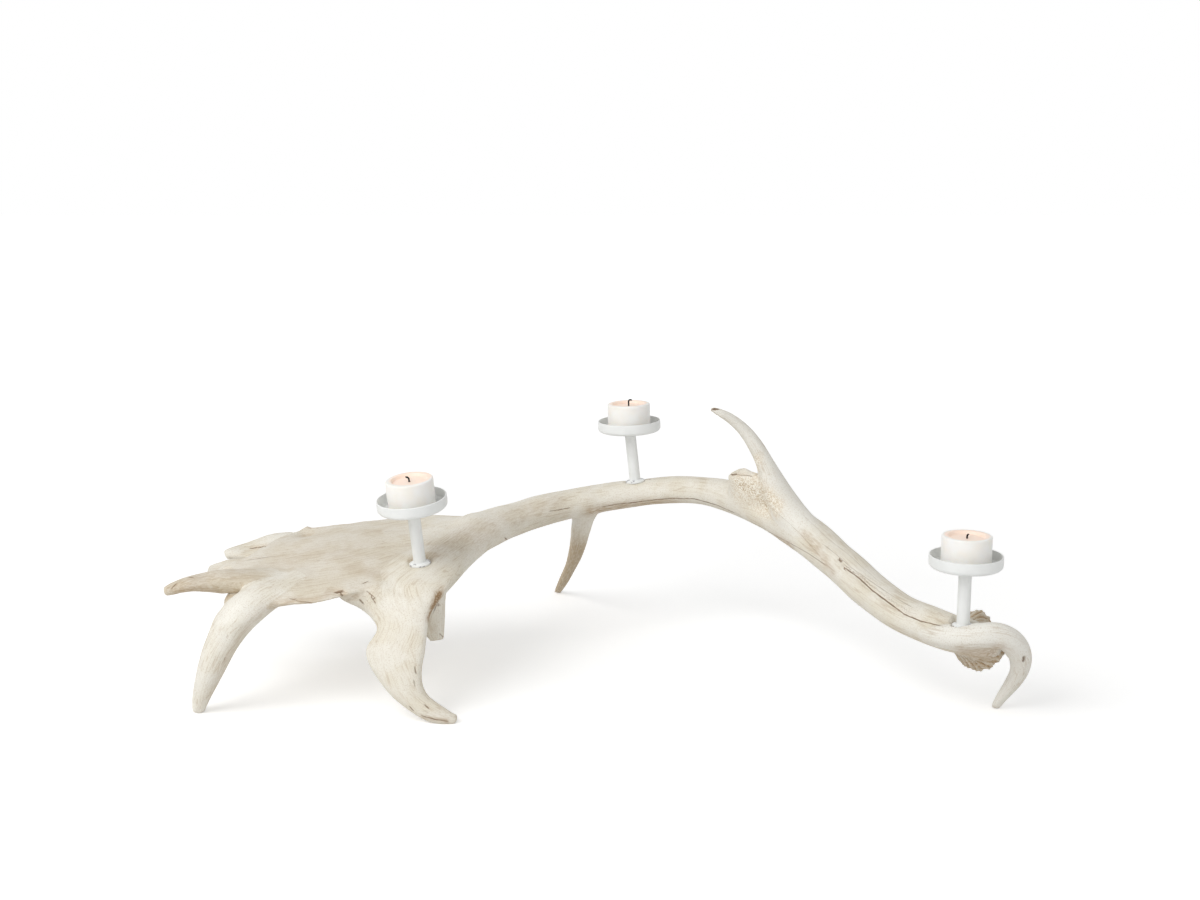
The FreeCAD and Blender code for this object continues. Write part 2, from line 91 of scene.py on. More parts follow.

# The antler's limbs: the wide way of the sections, how coarse the grain is, how tan the bone is towards
# the limb's end, or below nought how bleached, and the sections as x, y, z, height and extra width in
# millimetres. The tan is partly painted shade, as on the rear tine, and the bleach partly painted light
# on the tines, the left leg and the foot's spur
PALM_TILT = (0, 1, 0.09)
LIMBS = {
    "beam": ((1, -0.3, 0), 1.0, 0.05, (
        (302, -137, 56, 27, 2), (274, -155, 67.5, 27, 3), (252, -138, 72, 30, 1),
        (226, -105, 81.5, 31.5, 1), (197, -60, 100, 32, 1), (165, -15, 117.5, 32, 2),
        (128, 24, 130, 29, 1), (84, 56, 133, 25, 1), (33, 70, 127, 24, 3), (-18, 63, 120.5, 26, 2),
        (-60, 37, 116.5, 28, 3), (-95, 0, 112.5, 30, 10), (-122, -45, 106, 26, 24),
        (-145, -99, 99, 23, 45), (-160.5, -124, 89.5, 23, 57), (-153.5, -143, 70, 18, 25),
        (-158.5, -151, 53, 16, 33), (-154, -157, 37.5, 16, 22), (-147, -161, 22.5, 15.5, 10),
        (-136, -163.5, 11.5, 14.5, 3), (-122.5, -165.5, 4.8, 13, 1), (-110.5, -166.5, 2, 8, 0.5))),
    "burr": ((0.55, 0.8, 0), 0.4, 0.4, (
        (278, -152.5, 65.5, 24, 1), (286, -147, 61.5, 32, 2), (296, -140, 58, 46, 2),
        (303, -135.5, 54.5, 38, 2))),
    "palm": (PALM_TILT, 0.5, 0.25, (
        (-98, -4, 111, 15, 12), (-122, -14, 111.5, 17, 66), (-150, -31, 109.5, 17, 94),
        (-182, -42, 107.5, 16, 102), (-214, -65.5, 105, 15, 138), (-246, -71, 101.5, 14, 143),
        (-273, -70, 98.5, 12, 130), (-295, -60, 96.5, 8, 74))),
    "far_finger": (PALM_TILT, 0.5, 0.0, (
        (-236, -20, 104.5, 4, 10), (-260, -9, 103, 9, 15), (-284, -6, 102.5, 12.5, 16),
        (-304, -9, 98.5, 12, 10), (-320.5, -14, 93, 8, 2))),
    "middle_finger": (PALM_TILT, 0.6, 0.1, (
        (-284, -60, 97.6, 4.6, 16), (-299, -60.5, 96.9, 6.4, 17), (-312, -61, 96.3, 7, 13),
        (-324, -61, 95.4, 5, 6))),
    "near_finger": (PALM_TILT, 0.5, 0.5, (
        (-242, -92, 100.5, 5, 14), (-265, -106, 98, 13, 20), (-289, -117, 99.8, 16.5, 11),
        (-313, -129, 101.8, 13.5, 6), (-333, -142, 99.5, 7.5, 2))),
    "left_leg": (PALM_TILT, 0.6, -0.35, (
        (-226, -94, 101, 5, 14), (-244, -112, 97.5, 12, 18), (-259, -128.5, 92, 21, 11),
        (-273, -140, 84.5, 27, 4), (-285.5, -147, 71, 26, 3), (-295.5, -149, 54, 23.5, 2.5),
        (-304, -148, 34.5, 20, 2), (-311.5, -145, 15.5, 15, 1.5), (-316, -143, -3.5, 9, 0.5))),
    "brow_tine": ((0, 0, 1), 0.3, -0.8, (
        (216, -92, 84, 12, 1), (238, -126, 73, 16, 2), (258, -155, 68.5, 18, 2), (278, -172, 71, 17, 2),
        (299, -174, 73, 18.5, 1.5), (316.5, -168, 63.5, 18, 1), (325, -158, 46, 15.5, 1),
        (322.5, -145, 24, 12, 0.5), (312.5, -134, -1.5, 6.5, 0.5))),
    "upper_tine": ((0.8, 0.55, 0), 0.4, -0.6, (
        (208, -76, 95, 12, 2), (190, -51, 108, 20, 3), (168, -27, 124, 23.5, 3.5),
        (151.5, -15, 146, 21.5, 5), (140.8, -13, 169, 15.8, 1.5), (132.5, -13, 185, 12.8, 1),
        (120, -15, 202, 10.5, 0.5), (107, -19, 213, 8, 0.5), (92, -23, 220.8, 4, 0.3))),
    "rear_tine": ((1, 0, 0), 0.7, 1.0, (
        (-11, 58, 120, 18, 3), (-17, 85, 92, 17.5, 1), (-22, 115, 62, 14, 0.5),
        (-30, 147, 33, 10.5, 0.5), (-38, 172, 11, 8, 0.5), (-43.5, 190, -4, 5.5, 0.3))),
    "foot_spur": ((1, 0.2, 0), 0.6, -0.2, (
        (-135, -98, 99, 9, 10), (-134.5, -106, 83, 12, 10), (-133.5, -112, 66, 11.5, 9),
        (-130, -116, 49, 6.5, 5))),
    "fork_stub": ((-0.75, 0.65, 0), 0.6, 0.0, (
        (141, 7.5, 126, 17, 33), (128.5, 6.5, 145, 15.5, 29), (118, 6.5, 161, 12.5, 10.5))),
}
COARSE_COLUMN = 1
TINGE_AND_PAINTED_LIGHT_COLUMN = 2
BEAM_SADDLE = (-145, -99, 99)
FINE_STEPS = 40
LINE_STEP = 4 * MM
LEAST_STEPS = 8
LEAST_HALF = 1 * MM
LEAST_SLOPE = 1e-6
SEARCH_BLOCK = 20000
JOIN_SOFTNESS = 6 * MM
JOIN_REACH = 15 * MM
ROOT_HIDE = 10 * MM
ROOT_LENGTH = 24 * MM
ROOT_SHARE = 0.4
OPEN_ENDED = ("beam", "palm", "burr")

# Grooves and pits in the bone, and a painted shadow line under the right flange: half width in millimetres,
# strength, and pixels of the photograph laid on the antler
GROOVES_AND_SHADOW_LINE = {
    "lower beam line": (0.6, 0.8, (
        (600, 507), (617, 504), (645, 501), (671, 498), (694, 499), (717, 505), (740, 515))),
    "lower beam end": (0.5, 0.55, ((745, 519), (762, 528), (786, 541), (808, 553), (828, 567))),
    "right groove": (0.7, 0.9, (
        (843, 566), (859, 578), (872, 590), (888, 602), (904, 614), (920, 621), (944, 626))),
    "right hairline": (0.4, 0.35, ((822, 543), (838, 556), (852, 568), (872, 582), (896, 598), (915, 609))),
    "fork hairline": (0.35, 0.25, ((770, 507), (790, 524), (806, 540), (820, 556))),
    "upper hairline": (0.35, 0.25, ((800, 512), (825, 536), (850, 556), (880, 582))),
    "right pits": (0.8, 0.9, ((839, 560), (840, 561))),
    "right pit": (0.9, 1.0, ((844, 568), (845, 569))),
    "beam dashes": (0.45, 0.6, ((551, 511), (558, 510), (568, 508))),
    "beam pit": (0.8, 0.9, ((505, 538), (506, 539))),
    "stem chip": (1.0, 1.0, ((647, 479), (649, 479))),
    "foot edge": (0.6, 0.5, ((443, 590), (437, 604), (432, 616))),
    "palm cavity": (1.6, 0.9, ((337, 592), (341, 591))),
    "cavity mouth": (1.0, 0.8, ((341, 593), (342, 595))),
    "palm spot": (1.1, 0.8, ((361, 601), (362, 602))),
    "palm nick": (0.6, 0.7, ((369, 593), (374, 597))),
    "palm nicks": (0.6, 0.7, ((372, 598), (374, 601))),
    "palm tick": (0.6, 0.7, ((364, 583), (366, 582))),
    "far finger slot": (0.9, 0.7, ((252, 548), (258, 547), (265, 546))),
    "middle finger streak": (0.7, 0.5, ((244, 561), (256, 559), (268, 557), (277, 556))),
    "finger nick": (0.7, 0.8, ((190, 577), (191, 577))),
    "finger spot": (0.7, 0.8, ((173, 587), (174, 586))),
    "broken lip": (0.6, 0.6, ((292, 599), (300, 601), (310, 602))),
    "foot pits": (0.8, 0.6, ((415, 669), (415.5, 671))),
    "ankle pit": (0.7, 0.6, ((414, 682), (414.5, 684))),
    "toe pit": (0.7, 0.6, ((426, 706), (427, 707))),
    "sole pit": (0.8, 0.8, ((411, 708), (412, 709))),
    "toe rim": (0.7, 0.7, ((424, 716), (434, 719), (446, 721))),
    "spur nick": (0.7, 0.5, ((441, 635), (442, 636))),
    "tine chip": (1.2, 1.0, ((714, 409), (717, 409))),
    "brow scar": (1.9, 0.8, ((1023.5, 658), (1023.5, 660))),
    "crater": (1.2, 0.9, ((732, 474), (735, 473.5))),
    "crater floor": (0.6, 0.6, ((738, 474), (745, 475), (750, 476))),
    # Painted shadow under the right flange, drawn as a groove line
    "stem shadow": (0.7, 0.7, ((952, 626), (957, 627), (961, 626))),
}

# Broad stains, and painted shade on the beam's lower side, beside the right stem, in the foot's crease,
# under the toe, the near finger and the palm's lip, and on the leg's shaded side: half width in
# millimetres, depth, how brown, how porous, and the pixels
STAINS_AND_SHADE = {
    # Painted shade along the beam's lower side
    "lower beam shade": (6.0, 0.0, 0.62, 0.0, (
        (590, 512), (630, 505), (671, 502), (717, 509), (750, 522), (790, 546))),
    "right valley": (3.6, 0.6, 0.16, 0.0, (
        (836, 560), (858, 580), (880, 597), (905, 614), (930, 624), (948, 622))),
    "right streaks": (4.0, 0.2, 0.4, 0.0, ((804, 534), (817, 550), (832, 572))),
    # Painted shade on the beam beside the right stem
    "stem valley": (4.0, 0.0, 0.12, 0.0, ((930, 612), (942, 616), (952, 620))),
    # Painted shade in the crease between the foot and its spur
    "foot groove": (3.4, 0.6, 1.4, 0.0, ((440, 594), (434, 607), (430, 618))),
    "groove ends": (3.0, 0.4, 0.5, 0.0, ((442, 588), (434, 607), (429, 619))),
    # Painted shade under the toe
    "toe underside": (2.4, 0.0, 0.5, 0.0, ((424, 717), (446, 721))),
    "cavity edge": (3.0, 0.8, 0.7, 0.4, ((336, 591), (344, 594))),
    "finger slot": (2.6, 0.6, 0.6, 0.5, ((253, 548), (265, 546))),
    # Painted shade under the near finger
    "finger underside": (3.2, 0.0, 0.45, 0.0, ((176, 592), (195, 589), (215, 591), (228, 597))),
    "left stem stain": (13.0, 0.0, 0.3, 0.0, ((428, 556), (445, 545), (470, 534))),
    "stem foot stain": (5.0, 0.0, 0.45, 0.0, ((412, 560), (430, 560), (436, 554))),
    "palm stain": (7.0, 0.0, 0.22, 0.0, ((352, 568), (378, 574))),
    "fork web": (11.0, 0.0, 0.0, 1.4, ((741, 486), (754, 490), (767, 505))),
    "web low": (8.0, 0.0, 0.0, 0.8, ((737, 496), (752, 503), (766, 512))),
    "web fold": (7.0, 0.0, 0.0, 1.3, ((759, 484), (764, 494), (770, 504))),
    "web corner": (6.0, 0.1, 0.25, 1.0, ((768, 494), (777, 504), (775, 512))),
    "web side": (4.0, 0.0, 0.2, 0.9, ((757, 459), (756, 470), (759, 482), (767, 495))),
    "stub crater": (2.8, 1.6, 0.5, 0.5, ((733, 474), (742, 474))),
    "burr throat": (6.0, 0.0, 0.5, 0.0, ((962, 650), (974, 652), (986, 651), (997, 648))),
    "burr fan": (9.0, 0.0, 0.62, 0.0, ((966, 655), (980, 658), (990, 655))),
    "finger top": (5.0, 0.0, 0.2, 0.0, ((172, 588), (190, 581), (204, 579))),
    "palm centre": (16.0, 0.0, 0.14, 0.0, ((280, 562), (310, 556), (345, 552))),
    "throat": (12.0, 0.0, 0.26, 0.0, ((448, 548), (470, 537), (492, 528))),
    "left beam": (9.0, 0.0, 0.2, 0.0, ((505, 520), (530, 510), (560, 503))),
    # Painted shade on the leg's shaded side and under the palm's near lip
    "leg shade": (5.0, 0.0, 0.26, 0.0, ((276, 605), (250, 623), (228, 658), (212, 696))),
    "palm lip": (3.0, 0.0, 0.4, 0.0, ((276, 605), (292, 600), (312, 600), (328, 595), (337, 591))),
}
MARK_STEP = 1.0
TANGENT_REACH = 3
TAPER_STEPS = 9
TAPER_LENGTH = 3 * TAPER_STEPS
TAPER_START = 0.3
MARK_FACING = (-0.2, 0.4)
MARK_END = (2.6 * MM, 1.0 * MM)
MARK_REACH = (5 * MM, 3.4 * MM)
FAR_ASIDE = 6.0
LEAST_LENGTH = 1e-9

# Places pressed into shape: the limb or any, the pixel, the reach and the push in millimetres
PRESSES = {
    "web dip": (None, (746, 469.5), 6, (0, 0, -4.5)),
    "far finger": (None, (252, 541), 18, (0, 0, -9)),
    "middle finger": (None, (214, 563), 9, (0, 0, -6)),
    "left beam top": (None, (520, 505), 18, (0, 0, -2.4)),
    "near finger tip": ("near_finger", (172, 588), 12, (-6, 0, -2.5)),
    "near finger top": ("near_finger", (205, 575), 9, (0, 0, -2)),
    "beam top": (None, (846, 546), 21, (0, 0, -2.4)),
    "beam slope": (None, (872, 570), 21, (0, 0, -3.2)),
    "beam end": (None, (898, 592), 21, (0, 0, -3.2)),
    "palm edge": (None, (310, 529), 18, (0, 0, -4)),
    "palm far corner": (None, (306, 527.7), 9, (0, 0, -4)),
    "spur corner": ("foot_spur", (432, 637), 4, (1, 0, 5)),
    "palm root": (None, (468, 519), 14, (0, 0, 3.5)),
    "burr shoulder": ("burr", (997, 617), 9, (-6, 0, -9)),
    "finger crotch": ("palm", (221, 594), 10, (9, 9, 2)),
}

# Places rubbed smooth: the pixel and the reach in millimetres
RUBBED = {
    "palm to foot": ((352, 598), 9),
    "foot shoulder": ((368, 602), 11),
    "foot flank": ((358, 608), 11),
    "palm corner": ((344, 595), 6),
    "stub foot": ((738, 488), 8),
    "web middle": ((752, 496), 9),
    "far finger root": ((283, 541), 9),
    "web end": ((768, 506), 8),
}

# Bone that fills the crease under the palm's near edge: middle, radii and tilt in degrees
FILLERS = {
    "palm to foot": ((-189, -120, 89), (18, 13, 9.5), 12),
    "foot shoulder": ((-171, -126, 88), (18, 11, 13), 0),
}

# The bone's mesh, its joins, and its seats under the flanges
BONE_VOXEL = 1.56 * MM
FILLER_SUBDIVISIONS = 4
LEAST_WEIGHT = 0.02
JOIN_FILL = JOIN_REACH / 4
RUB_STRENGTH = 1.5
TIP_SHARE = (0.92, 1.0)
SMOOTH_FACTOR = 0.5
SMOOTH_STEPS = {"rubbed": 80, "joins": 24, "tips": 8}
LAST_SMOOTH_STEPS = 3
FOOT_LIMBS = ("beam", "left_leg", "brow_tine", "rear_tine")
FOOT_REACH = 16 * MM
SEAT_RADIUS = 9.6 * MM
SEAT_BELOW = 1.5 * MM
SEAT_ABOVE = 12 * MM
SEAT_GAP = 0.15 * MM

# The bone's relief: sizes in metres, heights in millimetres, and the ranges that fade it
LIMB_SHIFT = 0.37
GRAIN_STRETCH = (1, 1, 0.09)
FLUTE_SIZE = 8 * MM
FLUTE_HEIGHT = 0.26
GRAIN_SIZE = 2.6 * MM
GRAIN_HEIGHT = 0.1
SWELL_SIZE = 26 * MM
SWELL_HEIGHT = 0.6
GRAIN_STAIN = 0.12
GRAIN_STAIN_RANGE = (0.45, 1.0)
PALM_RIM = (0.75, 0.98)
BREAK_SIZE = 12 * MM
BREAK_FINE_SIZE = 4.5 * MM
BREAK_REACH = 1.6
BREAK_STAIN = 0.4
BREAK_STAIN_RANGE = (0.1, 0.7)

# The bone's tan: painted shade underneath, painted shade with some grime in the hollows, and the share of
# it that porous bone loses
HOLLOW_STEPS = 40
HOLLOW_DEPTH_RANGE = (-0.2, 1.8)
HOLLOW_SHADE_AND_GRIME_TAN = 0.42
UNDER_SHADE_RANGE = (0.0, 0.9)
UNDER_SHADE_TAN = 0.18
TINGE_SHARE = (0.12, 0.45)
POROUS_LOSS = 0.8

# The burr's ribs, pearls and shed end
RIB_COUNT = 27
RIB_SWAY = 2.5
RIB_SWAY_SIZE = 12 * MM
RIB_HEIGHT = 0.9
RIB_STAIN = 0.5
RIM_SHARE = (0.55, 0.75)
PEARL_SIZE = 3.6 * MM
PEARL_FALL = 1.5
PEARL_HEIGHT = 2.4
PEARL_SINK = 0.8
PEARL_PALENESS = 0.8
PEARL_RANGE = (0.3, 0.6)
SHED_SHARE = (0.9, 0.97)
SHED_RADIUS = (15.5 * MM, 13.5 * MM)
SHED_LUMP_SIZE = 5 * MM
SHED_LUMP_HEIGHT = 0.9
SHED_GRIT_SIZE = 2.2 * MM
SHED_GRIT_HEIGHT = 0.5
SHED_STAIN = 0.3
SHED_STAIN_SWAY = 0.25
SHED_STAIN_SIZE = 4 * MM
SHED_POROUS = 0.8


# Selecting and finishing pieces
def select_only(piece):
    bpy.ops.object.select_all(action="DESELECT")
    piece.select_set(True)
    bpy.context.view_layer.objects.active = piece


def merged_copy(node_name, piece_name):
    piece = bpy.data.objects.new(piece_name, frame["nodes"][node_name].data.copy())
    bpy.context.scene.collection.objects.link(piece)
    select_only(piece)
    bpy.ops.mesh.customdata_custom_splitnormals_clear()
    bpy.ops.object.mode_set(mode="EDIT")
    bpy.ops.mesh.select_all(action="SELECT")
    bpy.ops.mesh.remove_doubles(threshold=MERGE_GAP)
    bpy.ops.object.mode_set(mode="OBJECT")
    return piece


def apply_modifier(piece, kind, **settings):
    select_only(piece)
    modifier = piece.modifiers.new(kind.lower(), kind)
    for name, value in settings.items():
        setattr(modifier, name, value)
    bpy.ops.object.modifier_apply(modifier=modifier.name)


def give_material(piece, material):
    piece.data.materials.clear()
    piece.data.materials.append(material)


def read_vectors(rows, name):
    values = np.zeros(len(rows) * 3, np.float32)
    rows.foreach_get(name, values)
    return values.reshape(-1, 3).astype(float)


def vertex_places(piece):
    return read_vectors(piece.data.vertices, "co")


def vertex_normals(piece):
    return read_vectors(piece.data.vertex_normals, "vector")


def move_vertices(piece, places):
    piece.data.vertices.foreach_set("co", places.astype(np.float32).ravel())
    piece.data.update()


def paint_value(piece, name, values):
    layer = piece.data.attributes.new(name, "FLOAT", "POINT")
    layer.data.foreach_set("value", values.astype(np.float32))


def paint_vector(piece, name, vectors):
    layer = piece.data.attributes.new(name, "FLOAT_VECTOR", "POINT")
    layer.data.foreach_set("vector", vectors.astype(np.float32).ravel())


# Soft noise from -1 to 1, one value for each place
def swell(places, size):
    return np.array([noise.noise(place) for place in (places / size).tolist()])


# Round pearls from 0 to 1, one value for each place
def pearls(places, size):
    nearest = np.array([noise.voronoi(place)[0][0] for place in (places / size).tolist()])
    return np.clip(1.0 - nearest * PEARL_FALL, 0.0, 1.0)


def soft_step(values, low, high):
    share = np.clip((values - low) / (high - low), 0.0, 1.0)
    return share * share * (3.0 - 2.0 * share)


# The wide way of the sections, carried along a line and kept square to it
def carry_heading(across, along, wide, order):
    heading = np.array(wide, float)
    for index in order:
        heading = heading - along[index] * heading.dot(along[index])
        heading /= np.linalg.norm(heading)
        across[index] = heading


# The centre line of a limb, drawn through its sections and divided evenly
def limb_line(limb):
    wide, _, _, rows = LIMBS[limb]
    rows = np.array(rows, float) * MM
    fine = np.linspace(0, len(rows) - 1, FINE_STEPS * len(rows))
    padded = np.vstack((2 * rows[0] - rows[1], rows, 2 * rows[-1] - rows[-2]))
    start = np.minimum(fine.astype(int), len(rows) - 2)
    part = (fine - start)[:, None]
    before, first, second, after = (padded[start + shift] for shift in range(4))
    curve = 0.5 * (2 * first + (second - before) * part
                   + (2 * before - 5 * first + 4 * second - after) * part ** 2
                   + (3 * first - before - 3 * second + after) * part ** 3)
    steps = np.linalg.norm(np.diff(curve[:, :3], axis=0), axis=1)
    length = np.concatenate(((0.0,), np.cumsum(steps)))
    even = np.linspace(0.0, length[-1], max(int(length[-1] / LINE_STEP), LEAST_STEPS))
    curve = np.stack([np.interp(even, length, column) for column in curve.T], axis=1)
    along = np.gradient(curve[:, :3], axis=0)
    along /= np.linalg.norm(along, axis=1)[:, None]
    known = 0
    if limb == "beam":
        known = np.linalg.norm(curve[:, :3] - np.array(BEAM_SADDLE) * MM, axis=1).argmin()
    across = np.empty_like(along)
    carry_heading(across, along, wide, range(known, len(along)))
    carry_heading(across, along, wide, range(known, -1, -1))
    return {
        "centre": curve[:, :3], "along": along, "across": across, "over": np.cross(along, across),
        "half_high": np.maximum(curve[:, 3] / 2, LEAST_HALF),
        "half_wide": np.maximum((curve[:, 3] + curve[:, 4]) / 2, LEAST_HALF), "length": even,
    }


def nearest_index(places, targets):
    nearest = np.empty(len(places), int)
    distance = np.empty(len(places))
    for start in range(0, len(places), SEARCH_BLOCK):
        block = places[start:start + SEARCH_BLOCK]
        gaps = (block ** 2).sum(1)[:, None] - 2 * block @ targets.T + (targets ** 2).sum(1)
        nearest[start:start + SEARCH_BLOCK] = gaps.argmin(1)
        distance[start:start + SEARCH_BLOCK] = np.sqrt(np.maximum(gaps.min(1), 0.0))
    return nearest, distance


# For each place the limb it lies on, its place in that limb's own grain, and how near a join it is
def limb_field(places):
    count = len(places)
    best = np.full(count, np.inf)
    second = np.full(count, np.inf)
    best_facing = np.zeros((count, 3))
    second_facing = np.zeros((count, 3))
    field = {"limb": np.zeros(count, int), "fibre": np.zeros((count, 3)), "edge": np.zeros(count),
             "outward": np.zeros((count, 3)), "share": np.zeros(count)}
    for index, limb in enumerate(LIMBS):
        line = limb_line(limb)
        near, _ = nearest_index(places, line["centre"])
        wide = line["half_wide"][near]
        high = line["half_high"][near]
        offset = places - line["centre"][near]
        along = (offset * line["along"][near]).sum(1)
        across = (offset * line["across"][near]).sum(1)
        over = (offset * line["over"][near]).sum(1)
        reach = np.hypot(across / wide, over / high)
        slope = np.hypot(across / wide ** 2, over / high ** 2) + LEAST_SLOPE
        gap = (reach - 1.0) * reach / slope + np.maximum(np.abs(along) - LINE_STEP, 0.0)
        if limb not in OPEN_ENDED:
            root = min(ROOT_SHARE * line["length"][-1], ROOT_LENGTH)
            gap += ROOT_HIDE * (1.0 - soft_step(line["length"][near], 0.0, root))
        facing = line["across"][near] * (across / wide ** 2 / slope)[:, None]
        facing += line["over"][near] * (over / high ** 2 / slope)[:, None]
        closer = gap < best
        runner = ~closer & (gap < second)
        second = np.where(closer, best, np.where(runner, gap, second))
        second_facing = np.where(runner[:, None], facing, second_facing)
        second_facing = np.where(closer[:, None], best_facing, second_facing)
        best = np.where(closer, gap, best)
        best_facing = np.where(closer[:, None], facing, best_facing)
        field["limb"][closer] = index
        grain = np.stack((across, over, line["length"][near] + along), axis=1)
        field["fibre"][closer] = grain[closer]
        field["edge"][closer] = np.abs(across / wide)[closer]
        field["outward"][closer] = (line["across"][near] * np.sign(across)[:, None])[closer]
        field["share"][closer] = (line["length"][near] / line["length"][-1])[closer]
    turn = np.clip(1.0 - (best_facing * second_facing).sum(1), 0.0, 1.0)
    field["join"] = np.exp(-(np.maximum(second, 0.0) / JOIN_SOFTNESS) ** 2)
    field["hollow"] = np.clip(1.0 - np.maximum(second, 0.0) / JOIN_REACH, 0.0, 1.0) ** 2 * turn
    return field


def limb_values(field, column):
    return np.array([LIMBS[limb][column] for limb in LIMBS])[field["limb"]]


def limb_mask(field, limb):
    return (field["limb"] == list(LIMBS).index(limb)).astype(float)


# The ray of a pixel of the photograph
def photo_ray(pixel):
    focal = LENS / SENSOR_WIDTH * PHOTO_WIDTH
    right = (pixel[0] - PHOTO_WIDTH / 2) / focal
    up = (PHOTO_HEIGHT / 2 - pixel[1]) / focal
    forward = Vector((0, math.cos(CAMERA_PITCH), -math.sin(CAMERA_PITCH)))
    upward = Vector((0, math.sin(CAMERA_PITCH), math.cos(CAMERA_PITCH)))
    return (Vector((1, 0, 0)) * right + upward * up + forward).normalized()


# A line of photograph pixels laid on the antler: places and the way the bone faces there
def laid_line(tree, pixels):
    places = []
    facings = []
    for first, second in zip(pixels, pixels[1:]):
        steps = max(int(math.dist(first, second) / MARK_STEP), 1)
        for step in range(steps + 1):
            pixel = Vector(first).lerp(Vector(second), step / steps)
            place, facing, _, _ = tree.ray_cast(CAMERA_PLACE, photo_ray(pixel))
            if place is not None:
                places.append(place)
                facings.append(facing)
    return np.array(places), np.array(facings)


# The way a laid line runs, drawn over a few of its points
def line_heading(line):
    order = np.arange(len(line))
    ahead = line[np.minimum(order + TANGENT_REACH, len(line) - 1)]
    behind = line[np.maximum(order - TANGENT_REACH, 0)]
    heading = ahead - behind
    return heading / np.maximum(np.linalg.norm(heading, axis=1), LEAST_LENGTH)[:, None]


# The offset of each place to either side of a laid line, its distance, and where the line counts
def line_offset(places, normals, line, facings):
    near, distance = nearest_index(places, line)
    heading = line_heading(line)
    offset = places - line[near]
    aside = (offset * np.cross(facings, heading)[near]).sum(1)
    beyond = np.abs((offset * heading[near]).sum(1))
    turned = soft_step((normals * facings[near]).sum(1), *MARK_FACING)
    close = soft_step(beyond, *MARK_END) * soft_step(distance, *MARK_REACH)
    taper = np.ones(len(line))
    if len(line) > TAPER_LENGTH:
        ends = np.minimum(np.arange(len(line)), np.arange(len(line))[::-1])
        taper = np.minimum(1.0, TAPER_START + ends / TAPER_STEPS)
    return aside / taper[near], distance, turned * close * taper[near]


def line_distance(places, normals, line, facings):
    near, distance = nearest_index(places, line)
    return distance, soft_step((normals * facings[near]).sum(1), *MARK_FACING)


# The seats of the holders: the middle of each flange's underside and its axis
def holder_seats():
    seats = []
    for joint in frame["joints"]:
        side = joint["name"].split("_")[0]
        axis = np.array(joint["axis"], float)
        axis /= np.linalg.norm(axis)
        flange = vertex_places(frame["nodes"][f"{side}_foot_flange"])
        heights = flange @ axis
        middle = (flange.min(0) + flange.max(0)) / 2
        seats.append((middle + axis * (heights.min() - middle @ axis), axis))
    return seats


def clear_seats(places):
    for seat, axis in holder_seats():
        offset = places - seat
        height = offset @ axis
        radius = np.linalg.norm(offset - height[:, None] * axis, axis=1)
        over = (radius < SEAT_RADIUS) & (height > -SEAT_BELOW) & (height < SEAT_ABOVE)
        places[over] -= np.maximum(height[over] + SEAT_GAP, 0.0)[:, None] * axis
    return places


# The antler: the CAD bone with its joins run together, then its grain, grooves, burr and wear, with painted
# light and shade
def weigh_vertices(piece, name, weights):
    group = piece.vertex_groups.new(name=name)
    for index, weight in enumerate(weights.tolist()):
        if weight > LEAST_WEIGHT:
            group.add((index,), weight, "REPLACE")


def antler_tree(antler, places):
    return BVHTree.FromPolygons(places.tolist(), [face.vertices[:] for face in antler.data.polygons])


def near_pixel(tree, places, pixel, reach):
    spot, _, _, _ = tree.ray_cast(CAMERA_PLACE, photo_ray(pixel))
    if spot is None:
        return np.zeros(len(places))
    return np.exp(-((places - np.array(spot)) ** 2).sum(1) / (reach * MM) ** 2)


def press_places(antler, places, field):
    tree = antler_tree(antler, places)
    pressed = places.copy()
    for limb, pixel, reach, push in PRESSES.values():
        weight = near_pixel(tree, places, pixel, reach)
        if limb:
            weight *= limb_mask(field, limb)
        pressed += weight[:, None] * np.array(push) * MM
    return pressed


# The feet let down again to the floor after the smoothing
def settle_feet(antler):
    places = vertex_places(antler)
    field = limb_field(places)
    for limb in FOOT_LIMBS:
        foot = (limb_mask(field, limb) > 0.5) & (places[:, 2] < FOOT_REACH)
        height = places[foot, 2]
        places[foot, 2] = height - height.min() * (1.0 - height / FOOT_REACH)
    move_vertices(antler, places)


def round_joins(antler):
    places = vertex_places(antler)
    field = limb_field(places)
    filled = press_places(antler, places, field)
    filled += vertex_normals(antler) * (field["hollow"] * JOIN_FILL)[:, None]
    move_vertices(antler, filled)
    tree = antler_tree(antler, filled)
    rubbed = sum(near_pixel(tree, filled, pixel, reach) for pixel, reach in RUBBED.values())
    weigh_vertices(antler, "rubbed", np.clip(RUB_STRENGTH * rubbed, 0.0, 1.0))
    weigh_vertices(antler, "joins", field["join"])
    weigh_vertices(antler, "tips", soft_step(field["share"], *TIP_SHARE))
    for group, steps in SMOOTH_STEPS.items():
        apply_modifier(antler, "SMOOTH", factor=SMOOTH_FACTOR, iterations=steps, vertex_group=group)
    apply_modifier(antler, "SMOOTH", factor=SMOOTH_FACTOR, iterations=LAST_SMOOTH_STEPS)
    antler.vertex_groups.clear()
    settle_feet(antler)


# How deep each place lies in a hollow, in millimetres, below nought on a ridge
def hollow_depth(antler, places, normals):
    edges = np.empty(len(antler.data.edges) * 2, np.int32)
    antler.data.edges.foreach_get("vertices", edges)
    first, second = edges.reshape(-1, 2).T
    count = np.bincount(edges, minlength=len(places))[:, None]
    mean = places.copy()
    for _ in range(HOLLOW_STEPS):
        total = np.zeros_like(mean)
        np.add.at(total, first, mean[second])
        np.add.at(total, second, mean[first])
        mean = 0.5 * mean + 0.5 * total / count
    return ((mean - places) * normals).sum(1) / MM
